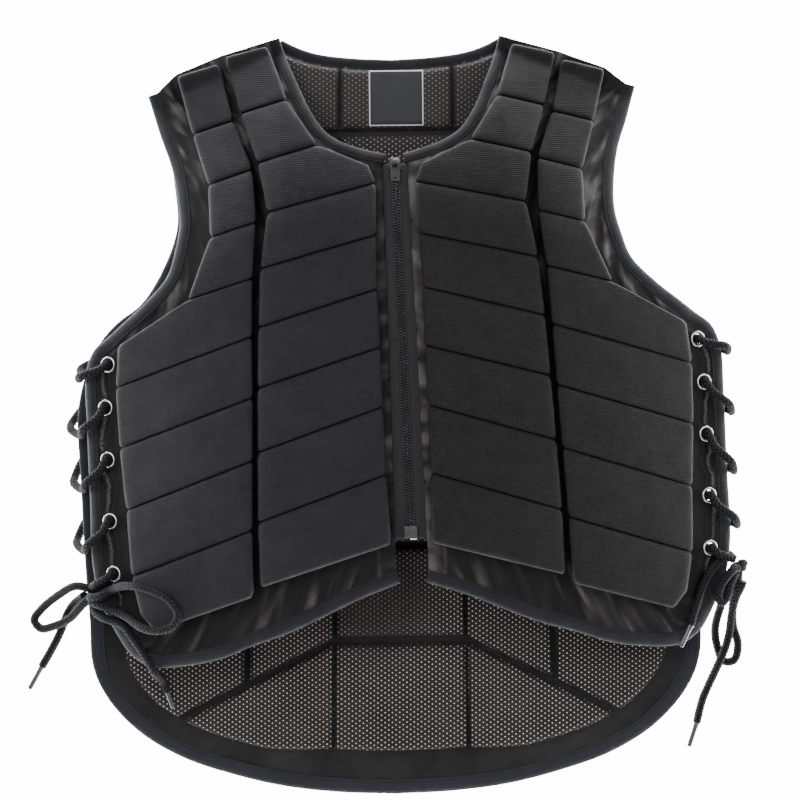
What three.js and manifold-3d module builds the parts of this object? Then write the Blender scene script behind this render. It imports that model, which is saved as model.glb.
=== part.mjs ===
// An equestrian body protector, zipped up and lying on its back: a padded back panel with a long
// tail, two vaulted front halves with columns of foam blocks, and laced sides tied in bows.
// Millimetres, +Z up, +Y towards the neck, +X towards the wearer's left. The origin is on the flat
// outer face of the back, on its centre line. "right" and "left" are the wearer's.
import * as THREE from "three";
import { mergeVertices } from "three/addons/utils/BufferGeometryUtils.js";
import Module from "manifold-3d";

const wasm = await Module();
wasm.setup();

// Outline sizes
const neckTop = 320; // neck corner of the shoulder line, in front of the origin along +Y
const frontLength = 520; // neck corner to the lowest point of the front hem
const backLength = 641; // neck corner to the end of the tail
const chestHalf = 240; // front centre line to the side edge of the padding
const edgeShare = 1.117; // front centre line to the laced edge, as a share of chestHalf
const edgeHalf = edgeShare * chestHalf;
const backHalf = 267; // back centre line to the laced edge
const centreEdge = 10.2; // front centre line to the edge of each front half

// Thicknesses
const cover = 3; // a fabric-covered margin or carrier sheet
const foam = 19; // front foam blocks above their carrier
const backFoam = 20; // back tiles from face to face
const bindingThick = 5;
const gap = 0.3; // clearance between pieces that touch
const webHeight = 9.5; // underside of the back's carrier sheet above the floor

// Binding widths
const neckBinding = 9;
const frontBinding = 10;
const backBinding = 12.5;

// The vault of the front over the wearer's chest
const seamHeight = backFoam + gap + (bindingThick - cover) / 2 + cover;
const chestHeight = 98; // top of the carrier at the breastbone
const foamEdgeHeight = 42; // top of the carrier at the outer edge of the padding
const sideHeight = 34; // top of the carrier at the laced edge
const foamReach = chestHalf + 5; // centre line to where the flat margin starts beside the padding
const archPower = 2.2;
const seamSeat = 12; // strip below the shoulder seam that lies flat on the back strap
const shoulderRun = 160; // length over which the front rises from the seam to the chest
const shoulderSlope = 0.41;
const hemDropStart = -60; // from here to the hem the vault gets flatter
const hemDropRun = 150;
const hemDrop = 0.15;

// How the vest has settled on the floor: small turns, in radians, and shifts
const frontTurn = 0.0435;
const shoulderTurn = 0.012;
const turnBlend = 125; // distance below the neck over which the front's turn builds up
const backTurn = 0.013;
const backLean = 0.008;
const frontShift = -5;
const backShift = -4.2;
const shiftLevel = 300;

// Foam blocks
const grooveHalf = 1.3; // half of the width of the groove between two blocks, at its top
const grooveDepth = 7;
const blockBevel = 4;
const bevelDrop = 2.2;
const blockCrown = 0.8;

// Tiles of the back
const tileGroove = 2.2; // half of the groove between two tiles
const tileBevel = 3;
const tileColumnTop = [47, 116]; // centre line to the column grooves, at the neck
const tileColumnTail = [58, 133];
const armBorder = 22; // outer edge of the back to its tiles, at the armholes
const sideBorder = 36; // and along the sides and the middle of the tail
const cornerBorder = 28; // and round the corners of the tail
const borderBlend = 60; // length over which one border turns into the next
const tileShift = 4; // centre line of the back to the middle of its tiles, as they lie

// Laced sides
const eyeletMargin = 0.9; // between an eyelet and the binding beside it
const eyeletHole = 4.6;
const eyeletRim = 6.65;
const eyeletHeight = 1.4;
const eyeletSides = 8;
const backCurl = 8; // how far the laced edge of the back curls up
const curlStart = backHalf - 45; // centre line to where the back starts to curl
const laceDiameter = 7.5;
const laceSides = 6;
const laceStep = 17; // length of one straight piece of a lace
const agletDiameter = 3.6;
const agletGap = 0.95;

// Zip
const zipTop = 208;
const zipBottom = -88;
const tapeHalf = 17.5;
const tapeThick = 1;
const tapeGap = 0.4; // centre line to the inner edge of each tape
const chainHalf = 4.6;
const chainThick = 2.6;
const sliderTop = 214;
const sliderLength = 14;
const sliderPlate = 1.5;
const sliderWall = 1.4;
const bridgeLength = 6;
const bridgeWidth = 2.2;
const bridgeBar = 1.2;
const bridgeHeight = 3.8;
const pullLength = 17;
const pullWidth = 7.8;
const pullThick = 1.4;
const pullBar = 0.75; // radius of the pull's cross bar
const pullEye = 4.8; // cross bar to where the tab gets solid
const boxLength = 13;
const boxHalf = 5.6;
const boxHeight = 4;

// Label place inside the neck
const labelWidth = 46;
const labelHeight = 47;
const labelThick = 1.2;

// How far a sheet is made past the outline that it is then cut to
const overhang = 15;

// Fineness of the faceted outlines
const outlineStep = 25;
const backOutlineStep = 31;

const DEG = Math.PI / 180;
const clamp = THREE.MathUtils.clamp;
const lerp = THREE.MathUtils.lerp;

// Outline of a front half: shares of chestHalf to the side and of frontLength down from the neck
const neckEdge = [
  { out: 0.386, down: 0.0 },
  { out: 0.369, down: 0.027 },
  { out: 0.325, down: 0.079 },
  { out: 0.283, down: 0.124 },
  { out: 0.232, down: 0.159 },
  { out: 0.18, down: 0.176 },
  { out: 0.096, down: 0.191 },
  { out: 0.028, down: 0.199 },
];
const shoulderEdge = [
  { out: 0.59, down: 0.027 },
  { out: 0.755, down: 0.056 },
];
const frontEdge = [
  { out: 0.857, down: 0.089 },
  { out: 0.817, down: 0.149 },
  { out: 0.781, down: 0.196 },
  { out: 0.762, down: 0.237 },
  { out: 0.753, down: 0.296 },
  { out: 0.775, down: 0.342 },
  { out: 0.804, down: 0.377 },
  { out: 0.882, down: 0.415 },
  { out: 0.971, down: 0.448 },
  { out: 1.025, down: 0.468 },
  { out: 1.083, down: 0.49 },
  { out: 1.113, down: 0.528 },
  { out: edgeShare, down: 0.6 },
  { out: edgeShare, down: 0.72 },
  { out: edgeShare, down: 0.84 },
  { out: 1.092, down: 0.897 },
  { out: 1.04, down: 0.948 },
  { out: 0.993, down: 0.98 },
  { out: 0.92, down: 1.0 },
  { out: 0.775, down: 0.998 },
  { out: 0.658, down: 0.987 },
  { out: 0.574, down: 0.972 },
  { out: 0.422, down: 0.949 },
  { out: 0.188, down: 0.902 },
  { out: 0.044, down: 0.878 },
];

// Outline of half of the back: shares of backHalf and of backLength
const backNeckEdge = [
  { out: 0.0, down: 0.028 },
  { out: 0.13, down: 0.025 },
  { out: 0.234, down: 0.019 },
  { out: 0.294, down: 0.011 },
  { out: 0.347, down: 0.0 },
];
const backEdge = [
  { out: 0.77, down: 0.072 },
  { out: 0.735, down: 0.12 },
  { out: 0.706, down: 0.153 },
  { out: 0.692, down: 0.191 },
  { out: 0.684, down: 0.244 },
  { out: 0.722, down: 0.294 },
  { out: 0.798, down: 0.346 },
  { out: 0.874, down: 0.371 },
  { out: 0.922, down: 0.393 },
  { out: 0.96, down: 0.421 },
  { out: 1.0, down: 0.484 },
  { out: 0.994, down: 0.583 },
  { out: 0.981, down: 0.7 },
  { out: 0.969, down: 0.77 },
  { out: 0.965, down: 0.815 },
  { out: 0.945, down: 0.845 },
  { out: 0.895, down: 0.88 },
  { out: 0.807, down: 0.917 },
  { out: 0.676, down: 0.949 },
  { out: 0.524, down: 0.971 },
  { out: 0.356, down: 0.988 },
  { out: 0.18, down: 0.997 },
  { out: 0.0, down: 1.0 },
];

// Lines between the foam blocks: near and far ends, as shares of chestHalf and frontLength, with a
// bulge point where the far side of the block below the line is not straight
const innerRows = [
  { near: [0.579, 0.033], far: [0.426, 0.016] },
  { near: [0.527, 0.126], far: [0.362, 0.107] },
  { near: [0.47, 0.207], far: [0.26, 0.182], bulge: [0.09, 0.219] },
  { near: [0.441, 0.287], far: [0.066, 0.248] },
  { near: [0.475, 0.375], far: [0.075, 0.331] },
  { near: [0.489, 0.467], far: [0.078, 0.415] },
  { near: [0.5, 0.562], far: [0.075, 0.506] },
  { near: [0.51, 0.663], far: [0.076, 0.599] },
  { near: [0.52, 0.773], far: [0.075, 0.705] },
  { near: [0.521, 0.876], far: [0.068, 0.815] },
];
const outerRows = [
  { near: [0.6, 0.043], far: [0.75, 0.062] },
  { near: [0.551, 0.136], far: [0.698, 0.154] },
  { near: [0.487, 0.216], far: [0.645, 0.236] },
  { near: [0.48, 0.301], far: [0.643, 0.321] },
  { near: [0.501, 0.389], far: [0.732, 0.418], bulge: [0.985, 0.485] },
  { near: [0.511, 0.48], far: [1.0, 0.551] },
  { near: [0.517, 0.576], far: [0.996, 0.648] },
  { near: [0.527, 0.675], far: [0.981, 0.747] },
  { near: [0.538, 0.784], far: [0.973, 0.853], bulge: [0.945, 0.913] },
  { near: [0.545, 0.89], far: [0.896, 0.94] },
];

// Lines between the rows of back tiles: share of backLength on the centre line, and how much a line
// falls for each millimetre outside the centre column
const tileRows = [
  { down: -0.03, fall: 0 },
  { down: 0.125, fall: 0 },
  { down: 0.234, fall: 0.06 },
  { down: 0.343, fall: 0.14 },
  { down: 0.452, fall: 0.21 },
  { down: 0.561, fall: 0.28 },
  { down: 0.67, fall: 0.37 },
  { down: 0.796, fall: 0.49 },
  { down: 1.04, fall: 0.49 },
];

// Eyelets down each side, as shares of frontLength below the neck corner
const eyeletDown = [0.512, 0.581, 0.665, 0.764, 0.849];

// How far each lace runs down from an eyelet before it turns round the edge, chosen by hand
const rightLaceFalls = [11, 22, 24, 24];
const leftLaceFalls = [9, 24, 30, 24];

// Free cords, chosen by hand along the real route, in the part's own frame: the bow at the
// wearer's right (loops out to the side and over the block) and at the left (hanging)
const rightKnot = [-254, -149, 27.2];
const rightSideLoop = [
  [-257, -145.5, 32], [-270, -143.5, 29], [-286, -152, 18], [-302, -165, 7],
  [-308, -174, 4.4], [-302.5, -181, 5], [-290, -178.5, 11.5], [-276, -171.5, 19],
  [-266, -161, 27], [-258, -153.5, 32],
];
const rightBlockLoop = [
  [-256, -151.5, 33], [-256, -152.5, 42], [-248, -151, 47], [-238, -145.5, 49],
  [-226, -141, 63.5], [-214, -141, 74.6], [-203.5, -143.5, 79], [-188, -150.5, 84.4],
  [-179.5, -162, 86.9], [-184, -173, 84.6], [-197, -177, 79.8], [-210, -175, 72.5],
  [-223, -168, 58], [-236, -162.5, 48.5], [-248.5, -158.5, 45], [-256, -156, 38.5],
];
const rightShortTail = [
  [-263.4, -151.5, 23], [-268, -155, 14.5], [-275, -161, 6.5], [-280.5, -170, 4.2],
  [-284, -180, 4.2], [-289, -191, 4.2], [-296, -204, 4.2], [-301.5, -213.5, 4.1],
];
const rightLongTail = [
  [-254.5, -160.8, 29.6], [-252, -165, 38], [-245, -169, 44], [-237, -171.5, 46],
  [-228, -175.5, 48.8], [-218.5, -187, 52.2], [-209, -200, 56.3], [-204, -208, 57.8],
  [-201, -214.6, 55], [-199.5, -218.5, 42], [-196.3, -224, 27.5], [-193.3, -233, 24.2],
];
const rightLeadOut = [[-243, -136.5, 46], [-250.5, -140.5, 42.8], [-255.2, -143.8, 35.6]];
const rightLeadIn = [[-245.3, -149.5, 23.2], [-238, -143, 24]];
const leftKnot = [287.8, -126, 36];
const leftSideLoop = [
  [288.5, -130, 31], [288.5, -138, 26], [286, -156, 13], [286.7, -178, 5],
  [291, -195, 4.3], [287.6, -208, 4.3], [279.1, -209, 4.3], [273.1, -195.5, 4.3],
  [271.4, -181, 6], [274.6, -163.5, 14], [278.5, -149, 24], [284, -133, 33],
];
const leftBlockLoop = [
  [286.5, -127, 42], [280.5, -130, 47], [273.5, -139, 46.2], [269.5, -149, 46.5],
  [272.5, -156.5, 44.5], [277.5, -151, 42.5], [280.5, -140, 41.5], [285, -131, 40],
];
const leftShortTail = [
  [271, -121.4, 43.2], [264.5, -127.5, 45.1], [257.7, -139.6, 48], [251.4, -156.3, 51],
  [248, -166, 52.6], [245.6, -174.6, 54.4],
];
const leftLongTail = [
  [291.5, -138.9, 38.2], [289.5, -144.5, 36], [286.5, -152, 30.5], [284, -166, 21],
  [282.5, -184, 14], [279.5, -196, 13], [275, -207, 12.8], [270.5, -218, 9.3],
  [266, -229, 5.2], [261, -241, 4.2], [258, -252, 4.2], [256, -261, 4.1],
];
const leftLeadOut = [[269, -114.5, 47], [277, -118, 44], [283.2, -119.9, 40.2]];
const leftLeadIn = [[284.8, -120.5, 28], [281, -117, 24.5], [269, -113, 23.5]];
// Aglets carry on from the tails to these tips
const rightShortTip = [-312.5, -233, 2.3];
const rightLongTip = [-188.3, -247, 22.2];
const leftShortTip = [237, -192, 58.5];
const leftLongTip = [249.5, -282, 2.3];

// Materials
function finish(color, roughness, metalness = 0) {
  return new THREE.MeshStandardMaterial({ color, roughness, metalness });
}
const blockCloth = finish("#29292c", 0.85);
const marginCloth = finish("#1f1c1b", 0.55);
const liningMesh = finish("#3a3535", 0.8);
const bindingKnit = finish("#26262b", 0.75);
const laceBraid = finish("#1d1d1f", 0.8);
const eyeletSteel = finish("#c4c4c4", 0.25, 1);
const zipPlastic = finish("#1a1a1c", 0.5);
const zipMetal = finish("#1b1b1d", 0.35, 0.6);
const agletPlastic = finish("#3c3c40", 0.3);
const labelCloth = finish("#3d4043", 0.8);

// A geometry as one closed solid, with shared vertices and its faces turned outwards
function solidFrom(geometry) {
  const bare = new THREE.BufferGeometry();
  bare.setAttribute("position", geometry.getAttribute("position").clone());
  if (geometry.index) bare.setIndex(geometry.index.clone());
  const merged = mergeVertices(bare, 1e-3);
  const triVerts = new Uint32Array(merged.index.array);
  const vertProperties = new Float32Array(merged.attributes.position.array);
  if (signedVolume(vertProperties, triVerts) < 0) flipFaces(triVerts);
  return new wasm.Manifold(new wasm.Mesh({ numProp: 3, vertProperties, triVerts }));
}

function signedVolume(points, faces) {
  let sum = 0;
  const at = (i) => new THREE.Vector3().fromArray(points, 3 * i);
  for (let i = 0; i < faces.length; i += 3) {
    sum += at(faces[i]).dot(at(faces[i + 1]).cross(at(faces[i + 2])));
  }
  return sum / 6;
}

function flipFaces(faces) {
  for (let i = 0; i < faces.length; i += 3) {
    [faces[i + 1], faces[i + 2]] = [faces[i + 2], faces[i + 1]];
  }
}

function geometryFrom(solid) {
  const { vertProperties, triVerts } = solid.getMesh();
  const geometry = new THREE.BufferGeometry();
  geometry.setAttribute("position", new THREE.BufferAttribute(vertProperties, 3));
  geometry.setIndex(new THREE.BufferAttribute(triVerts, 1));
  return geometry;
}

// A closed body from rings of points, all with as many points, capped at both ends
function ringedBody(rings) {
  const count = rings[0].length;
  const points = rings.flat(2);
  const faces = [];
  for (let r = 0; r + 1 < rings.length; r++) {
    for (let i = 0; i < count; i++) {
      const next = (i + 1) % count;
      const [a, b] = [r * count + i, r * count + next];
      faces.push(a, b, b + count, a, b + count, a + count);
    }
  }
  const last = (rings.length - 1) * count;
  for (let i = 1; i + 1 < count; i++) {
    faces.push(0, i + 1, i, last, last + i, last + i + 1);
  }
  const geometry = new THREE.BufferGeometry();
  geometry.setAttribute("position", new THREE.Float32BufferAttribute(points, 3));
  geometry.setIndex(faces);
  return solidFrom(geometry);
}

// A sheet over a grid of lines, between two height functions
function sheetSolid(xLines, yLines, topAt, bottomAt) {
  const rings = yLines.map((y) => [
    ...xLines.map((x) => [x, y, topAt(x, y)]),
    ...xLines.toReversed().map((x) => [x, y, bottomAt(x, y)]),
  ]);
  return cappedSheet(rings, xLines.length);
}

// As ringedBody, with end caps that zip the upper and the lower row of points together
function cappedSheet(rings, width) {
  const count = rings[0].length;
  const faces = [];
  for (let r = 0; r + 1 < rings.length; r++) {
    for (let i = 0; i < count; i++) {
      const next = (i + 1) % count;
      const [a, b] = [r * count + i, r * count + next];
      faces.push(a, b, b + count, a, b + count, a + count);
    }
  }
  const last = (rings.length - 1) * count;
  for (let i = 0; i + 1 < width; i++) {
    const [a, b, c, d] = [i, i + 1, count - 2 - i, count - 1 - i];
    faces.push(a, c, b, a, d, c);
    faces.push(last + a, last + b, last + c, last + a, last + c, last + d);
  }
  const geometry = new THREE.BufferGeometry();
  geometry.setAttribute("position", new THREE.Float32BufferAttribute(rings.flat(2), 3));
  geometry.setIndex(faces);
  return solidFrom(geometry);
}

// An upright prism over a closed outline
function prism(outline, low, high) {
  const shape = new THREE.Shape(outline.map((p) => new THREE.Vector2(p[0], p[1])));
  const body = new THREE.ExtrudeGeometry(shape, { depth: high - low, bevelEnabled: false });
  body.translate(0, 0, low);
  return solidFrom(body);
}

// A table of outline shares as points in the plan
function planPoints(table, half, length) {
  return table.map(({ out, down }) => [out * half, neckTop - down * length]);
}

// A smooth line through plan points, in pieces of about one outline step
function smoothLine(points, step = outlineStep) {
  const curve = new THREE.CatmullRomCurve3(points.map(([x, y]) => new THREE.Vector3(x, y, 0)));
  const count = Math.max(2, Math.round(curve.getLength() / step));
  return curve.getSpacedPoints(count).map((p) => [p.x, p.y]);
}

// Directions square to a line, on the side that insetSign picks
function insetDirections(line, insetSign) {
  return line.map((point, i) => {
    const before = line[Math.max(0, i - 1)];
    const after = line[Math.min(line.length - 1, i + 1)];
    const length = Math.hypot(after[0] - before[0], after[1] - before[1]);
    const along = [(after[0] - before[0]) / length, (after[1] - before[1]) / length];
    return [insetSign * along[1], -insetSign * along[0]];
  });
}

function insetLine(line, insetSign, widthAt) {
  const directions = insetDirections(line, insetSign);
  return line.map(([x, y], i) => {
    const width = widthAt(x, y);
    return [x + directions[i][0] * width, y + directions[i][1] * width];
  });
}

const backNeck = smoothLine(planPoints(backNeckEdge, backHalf, backLength), outlineStep);
const backNeckFull = [...backNeck.toReversed().map(mirror), ...backNeck.slice(1)];

// A binding folded over an edge: a rounded band from the outer edge to its inner side
function bindingBody(line, insetSign, width, middleAt) {
  const directions = insetDirections(line, insetSign);
  const half = bindingThick / 2;
  const section = [
    { inset: 0, up: 0 },
    { inset: 0.22 * width, up: half },
    { inset: width, up: 0.8 * half },
    { inset: width, up: -0.8 * half },
    { inset: 0.22 * width, up: -half },
  ];
  const rings = line.map(([x, y], i) =>
    section.map(({ inset, up }) => {
      const [px, py] = [x + directions[i][0] * inset, y + directions[i][1] * inset];
      return [px, py, middleAt(px, py) + up];
    }),
  );
  return ringedBody(rings);
}

// Height of the upper face of the front carrier over the floor, to one side of the centre line
function frontHeight(x, y) {
  const shoulderLine = neckTop - shoulderSlope * Math.max(0, x - neckEdge[0].out * chestHalf);
  const climb = clamp((shoulderLine - y - seamSeat) / shoulderRun, 0, 1);
  const rise = Math.sin((Math.PI / 2) * climb);
  const hem = 1 - hemDrop * clamp((hemDropStart - y) / hemDropRun, 0, 1);
  const arch = 1 - Math.pow(clamp(x / foamReach, 0, 1), archPower);
  const margin = Math.max(0, (x - foamReach) / (edgeHalf - foamReach));
  const vault = foamEdgeHeight + (chestHeight - foamEdgeHeight) * arch * hem;
  const crown = vault - (foamEdgeHeight - sideHeight) * margin;
  return seamHeight + rise * (crown - seamHeight);
}

// Grid lines of the carrier: denser where it rises from the shoulder
const carrierX = [0, 50, 96, 138, 176, 208, foamReach - 10, edgeHalf + overhang];
const carrierY = [
  neckTop + overhang, neckTop - seamSeat, 286, 260, 238, sliderTop, sliderTop - sliderLength, 189,
  170, 145, 118, 86, hemDropStart, zipBottom, -150, neckTop - frontLength - overhang,
];

// The same height read from the flat facets between the grid lines, close to the centre line
function facetHeight(x, y) {
  const above = carrierY.findLast((line) => line >= y) ?? carrierY[0];
  const below = carrierY.find((line) => line < y) ?? carrierY.at(-1);
  const share = (above - y) / (above - below);
  const column = lerp(frontHeight(0, above), frontHeight(0, below), share);
  const far = lerp(frontHeight(carrierX[1], above), frontHeight(carrierX[1], below), share);
  return lerp(column, far, x / carrierX[1]);
}

// The turn that each layer has settled with
function layFront([x, y, z]) {
  const blend = THREE.MathUtils.smoothstep(neckTop - y, 0, turnBlend);
  const turn = lerp(shoulderTurn, frontTurn, blend);
  return [x + frontShift + frontTurn * (shiftLevel - y), y + turn * x, z];
}

function layBack([x, y, z]) {
  return [x + backShift + backLean * (shiftLevel - y), y + backTurn * x, z];
}

function layMirrored(side, lay) {
  return ([x, y, z]) => lay([side * x, y, z]);
}

// A solid moved point by point
function laid(solid, lay) {
  const geometry = geometryFrom(solid);
  const position = geometry.getAttribute("position");
  for (let i = 0; i < position.count; i++) {
    position.setXYZ(i, ...lay([position.getX(i), position.getY(i), position.getZ(i)]));
  }
  return solidFrom(geometry);
}

const vest = new THREE.Group();

function place(name, solid, material, lay = (p) => p) {
  const geometry = geometryFrom(laid(solid, lay));
  geometry.computeVertexNormals();
  const mesh = new THREE.Mesh(geometry, material);
  mesh.name = name;
  vest.add(mesh);
}

const sides = [
  { word: "right", sign: -1 },
  { word: "left", sign: 1 },
];

// Lines of a front half
const neckLine = smoothLine(planPoints(neckEdge, chestHalf, frontLength), 15);
const frontLine = smoothLine(planPoints(frontEdge, chestHalf, frontLength));
const shoulderPoints = planPoints(shoulderEdge, chestHalf, frontLength);

// How far out a line runs at a level, and the eyelets just inside the binding of such an edge
function reachAt(line, level) {
  const i = line.findIndex(([, y], k) => k > 0 && y <= level && line[k - 1][1] > level);
  const share = (line[i - 1][1] - level) / (line[i - 1][1] - line[i][1]);
  return lerp(line[i - 1][0], line[i][0], share);
}

function eyeletsAlong(line, binding) {
  return eyeletDown.map((down) => {
    const level = neckTop - down * frontLength;
    const ends = [reachAt(line, level + eyeletRim), reachAt(line, level - eyeletRim)];
    const lean = Math.hypot(1, (ends[0] - ends[1]) / (2 * eyeletRim));
    return [reachAt(line, level) - (binding + eyeletMargin + eyeletRim) * lean, level];
  });
}

const backLine = smoothLine(planPoints(backEdge, backHalf, backLength), backOutlineStep);
const frontEyelets = eyeletsAlong(frontLine, frontBinding);
const backEyelets = eyeletsAlong(backLine, backBinding);

function frontShell() {
  const neckInset = insetLine(neckLine, -1, () => neckBinding + gap);
  const edgeInset = insetLine(frontLine, 1, () => frontBinding + gap);
  const outline = [
    ...neckInset.toReversed(),
    ...shoulderPoints,
    ...edgeInset,
  ].map(([x, y]) => [Math.max(centreEdge, x), y]);
  const sheet = sheetSolid(carrierX, carrierY, frontHeight, (x, y) => frontHeight(x, y) - cover);
  let shell = sheet.intersect(prism(outline, 0, 2 * chestHeight));
  for (const eyelet of frontEyelets) shell = shell.subtract(eyeletBore(eyelet, frontFrame));
  return shell;
}

// Where an eyelet sits and which way it faces: on the front margin, and on the back margin
function frontFrame([x, y]) {
  const z = facetMargin(x, y);
  const slope = (facetMargin(x + 1, y) - facetMargin(x - 1, y)) / 2;
  return { centre: [x, y, z], tilt: Math.atan(-slope) };
}

function facetMargin(x, y) {
  const [near, far] = carrierX.slice(-2);
  const share = (x - near) / (far - near);
  return lerp(frontHeight(near, y), frontHeight(far, y), share);
}

function backTop(x) {
  const curl = Math.max(0, (Math.abs(x) - curlStart) / (backHalf - curlStart));
  return webHeight + cover + backCurl * curl;
}

function backFrame([x, y]) {
  const [inner, outer] = [backTop(x - eyeletRim), backTop(x + eyeletRim)];
  return { centre: [x, y, (inner + outer) / 2], tilt: Math.atan((inner - outer) / (2 * eyeletRim)) };
}

function eyeletBore(eyelet, frame) {
  const bore = new THREE.CylinderGeometry(eyeletHole, eyeletHole, 4 * cover, eyeletSides);
  bore.rotateX(90 * DEG);
  return solidFrom(toEyelet(bore, eyelet, frame));
}

function toEyelet(geometry, eyelet, frame) {
  const { centre, tilt } = frame(eyelet);
  geometry.rotateY(tilt);
  geometry.translate(...centre);
  return geometry;
}

// A pressed ring on the outer face of a margin
function eyeletRing(eyelet, frame) {
  const profile = [
    [eyeletHole, gap],
    [eyeletRim, gap],
    [lerp(eyeletHole, eyeletRim, 0.4), gap + eyeletHeight],
    [eyeletHole, gap],
  ];
  const points = profile.map(([r, z]) => new THREE.Vector2(r, z));
  const ring = new THREE.LatheGeometry(points, eyeletSides);
  ring.rotateX(90 * DEG);
  return solidFrom(toEyelet(ring, eyelet, frame));
}

// One column of foam blocks, hinged at V grooves
function padColumn(rows) {
  const ends = rows.map(({ near, far }) => ({ near: fromShares(near), far: fromShares(far) }));
  const stations = [];
  for (let i = 0; i + 1 < rows.length; i++) {
    const [start, end] = [ends[i], ends[i + 1]];
    const bulge = rows[i].bulge && fromShares(rows[i].bulge);
    const length = Math.hypot(start.near[0] - end.near[0], start.near[1] - end.near[1]);
    const edge = grooveHalf / length;
    if (i > 0) stations.push({ ...start, lift: foam - grooveDepth, crown: 0 });
    stations.push(stationBetween(start, end, edge));
    if (bulge) stations.push({ ...stationBetween(start, end, 0.5), far: bulge });
    stations.push(stationBetween(start, end, 1 - edge));
  }
  const rings = stations.map(padRing);
  const floorAt = (x, y) => frontHeight(x, y) + gap;
  const floor = sheetSolid(carrierX, carrierY, floorAt, () => -cover);
  return ringedBody(rings).subtract(floor);
}

function fromShares([out, down]) {
  return [out * chestHalf, neckTop - down * frontLength];
}

function stationBetween(start, end, share) {
  const mix = (a, b) => [lerp(a[0], b[0], share), lerp(a[1], b[1], share)];
  return { near: mix(start.near, end.near), far: mix(start.far, end.far), lift: foam, crown: blockCrown };
}

function padRing({ near, far, lift, crown }) {
  const width = Math.hypot(near[0] - far[0], near[1] - far[1]);
  const bevel = blockBevel / width;
  const section = [
    { share: 0, up: -cover },
    { share: 0, up: lift - bevelDrop },
    { share: bevel, up: lift },
    { share: 0.5, up: lift + crown },
    { share: 1 - bevel, up: lift },
    { share: 1, up: lift - bevelDrop },
    { share: 1, up: -cover },
    { share: 0.5, up: -cover },
  ];
  return section.map(({ share, up }) => {
    const [x, y] = [lerp(near[0], far[0], share), lerp(near[1], far[1], share)];
    return [x, y, frontHeight(x, y) + up];
  });
}

// The back: a carrier sheet with beveled tiles that stand out on both faces
function backPanel() {
  const reach = backHalf + overhang;
  const lines = [-reach, -curlStart, 0, curlStart, reach];
  const ends = [neckTop + overhang, neckTop - backLength - overhang];
  const sheet = sheetSolid(lines, ends, backTop, (x) => backTop(x) - cover);
  const outline = fullBackOutline(() => neckBinding + gap, () => backBinding + gap);
  const tileOutline = fullBackOutline(() => neckBinding + gap, tileBorder);
  let tiles = null;
  for (let row = 0; row + 1 < tileRows.length; row++) {
    const columns = row + 2 < tileRows.length ? [-2, -1, 0, 1, 2] : [-1, 0, 1];
    for (const column of columns) {
      const body = tileBody(row, column, columns.at(-1));
      tiles = tiles ? tiles.add(body) : body;
    }
  }
  tiles = tiles.intersect(prism(tileOutline, -cover, 2 * backFoam));
  let panel = sheet.intersect(prism(outline, -cover, 2 * backFoam)).add(tiles);
  for (const eyelet of backEyelets) {
    const bore = eyeletBore(eyelet, backFrame);
    panel = panel.subtract(bore).subtract(laid(bore, ([x, y, z]) => [-x, y, z]));
  }
  return panel;
}

function tileBorder(x, y) {
  const level = neckTop - eyeletDown[0] * frontLength + eyeletRim + sideBorder;
  const arm = clamp((y - level) / borderBlend, 0, 1);
  const low = clamp((neckTop - frontLength + borderBlend - y) / borderBlend, 0, 1);
  const corner = low * clamp((Math.abs(x) - tileColumnTail[0]) / borderBlend, 0, 1);
  return lerp(sideBorder, armBorder, arm) - (sideBorder - cornerBorder) * corner;
}

// Half outlines of the back, joined with their mirror images into one closed line
function fullBackOutline(neckWidth, edgeWidth) {
  const half = [
    ...insetLine(backNeckFull, 1, neckWidth).slice(backNeck.length - 1),
    ...shoulderPoints,
    ...insetLine(backLine, 1, edgeWidth),
  ];
  half.at(-1)[0] = 0;
  const mirrored = half.slice(1, -1).toReversed().map(([x, y]) => [-x, y]);
  return [...half, ...mirrored];
}

function tileColumnX(column, y) {
  if (column >= tileColumnTop.length) return backHalf + 3 * overhang;
  const share = clamp((neckTop - y) / backLength, 0, 1);
  return lerp(tileColumnTop[column], tileColumnTail[column], share);
}

function tileCorner(line, row) {
  const { down, fall } = tileRows[row];
  const level = neckTop - down * backLength;
  const x = line < 0 ? 0 : tileColumnX(line, level);
  const base = tileColumnX(0, level);
  return [x, level - fall * Math.max(0, x - base)];
}

function tileBody(row, column, last) {
  const side = Math.sign(column) || 1;
  const inner = Math.abs(column) - 1;
  const outer = Math.abs(column) === last ? tileColumnTop.length : Math.abs(column);
  const corners = [
    column === 0 ? mirror(tileCorner(0, row)) : tileCorner(inner, row),
    tileCorner(outer, row),
    tileCorner(outer, row + 1),
    column === 0 ? mirror(tileCorner(0, row + 1)) : tileCorner(inner, row + 1),
  ];
  const level = (inset, z) => insetQuad(corners, inset).map(([x, y]) => [side * x + tileShift, y, z]);
  const rings = [
    level(tileGroove + tileBevel, 0),
    level(tileGroove, webHeight + cover / 2),
    level(tileGroove + tileBevel, backFoam),
  ];
  return ringedBody(rings);
}

function mirror([x, y]) {
  return [-x, y];
}

// A four-sided outline with every side moved in by the same distance
function insetQuad(corners, inset) {
  const lines = corners.map((a, i) => {
    const b = corners[(i + 1) % corners.length];
    const length = Math.hypot(b[0] - a[0], b[1] - a[1]);
    const normal = [(b[1] - a[1]) / length, -(b[0] - a[0]) / length];
    return { normal, reach: normal[0] * a[0] + normal[1] * a[1] + inset };
  });
  return lines.map((line, i) => {
    const before = lines[(i + lines.length - 1) % lines.length];
    const det = before.normal[0] * line.normal[1] - before.normal[1] * line.normal[0];
    return [
      (before.reach * line.normal[1] - before.normal[1] * line.reach) / det,
      (before.normal[0] * line.reach - before.reach * line.normal[0]) / det,
    ];
  });
}

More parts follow.
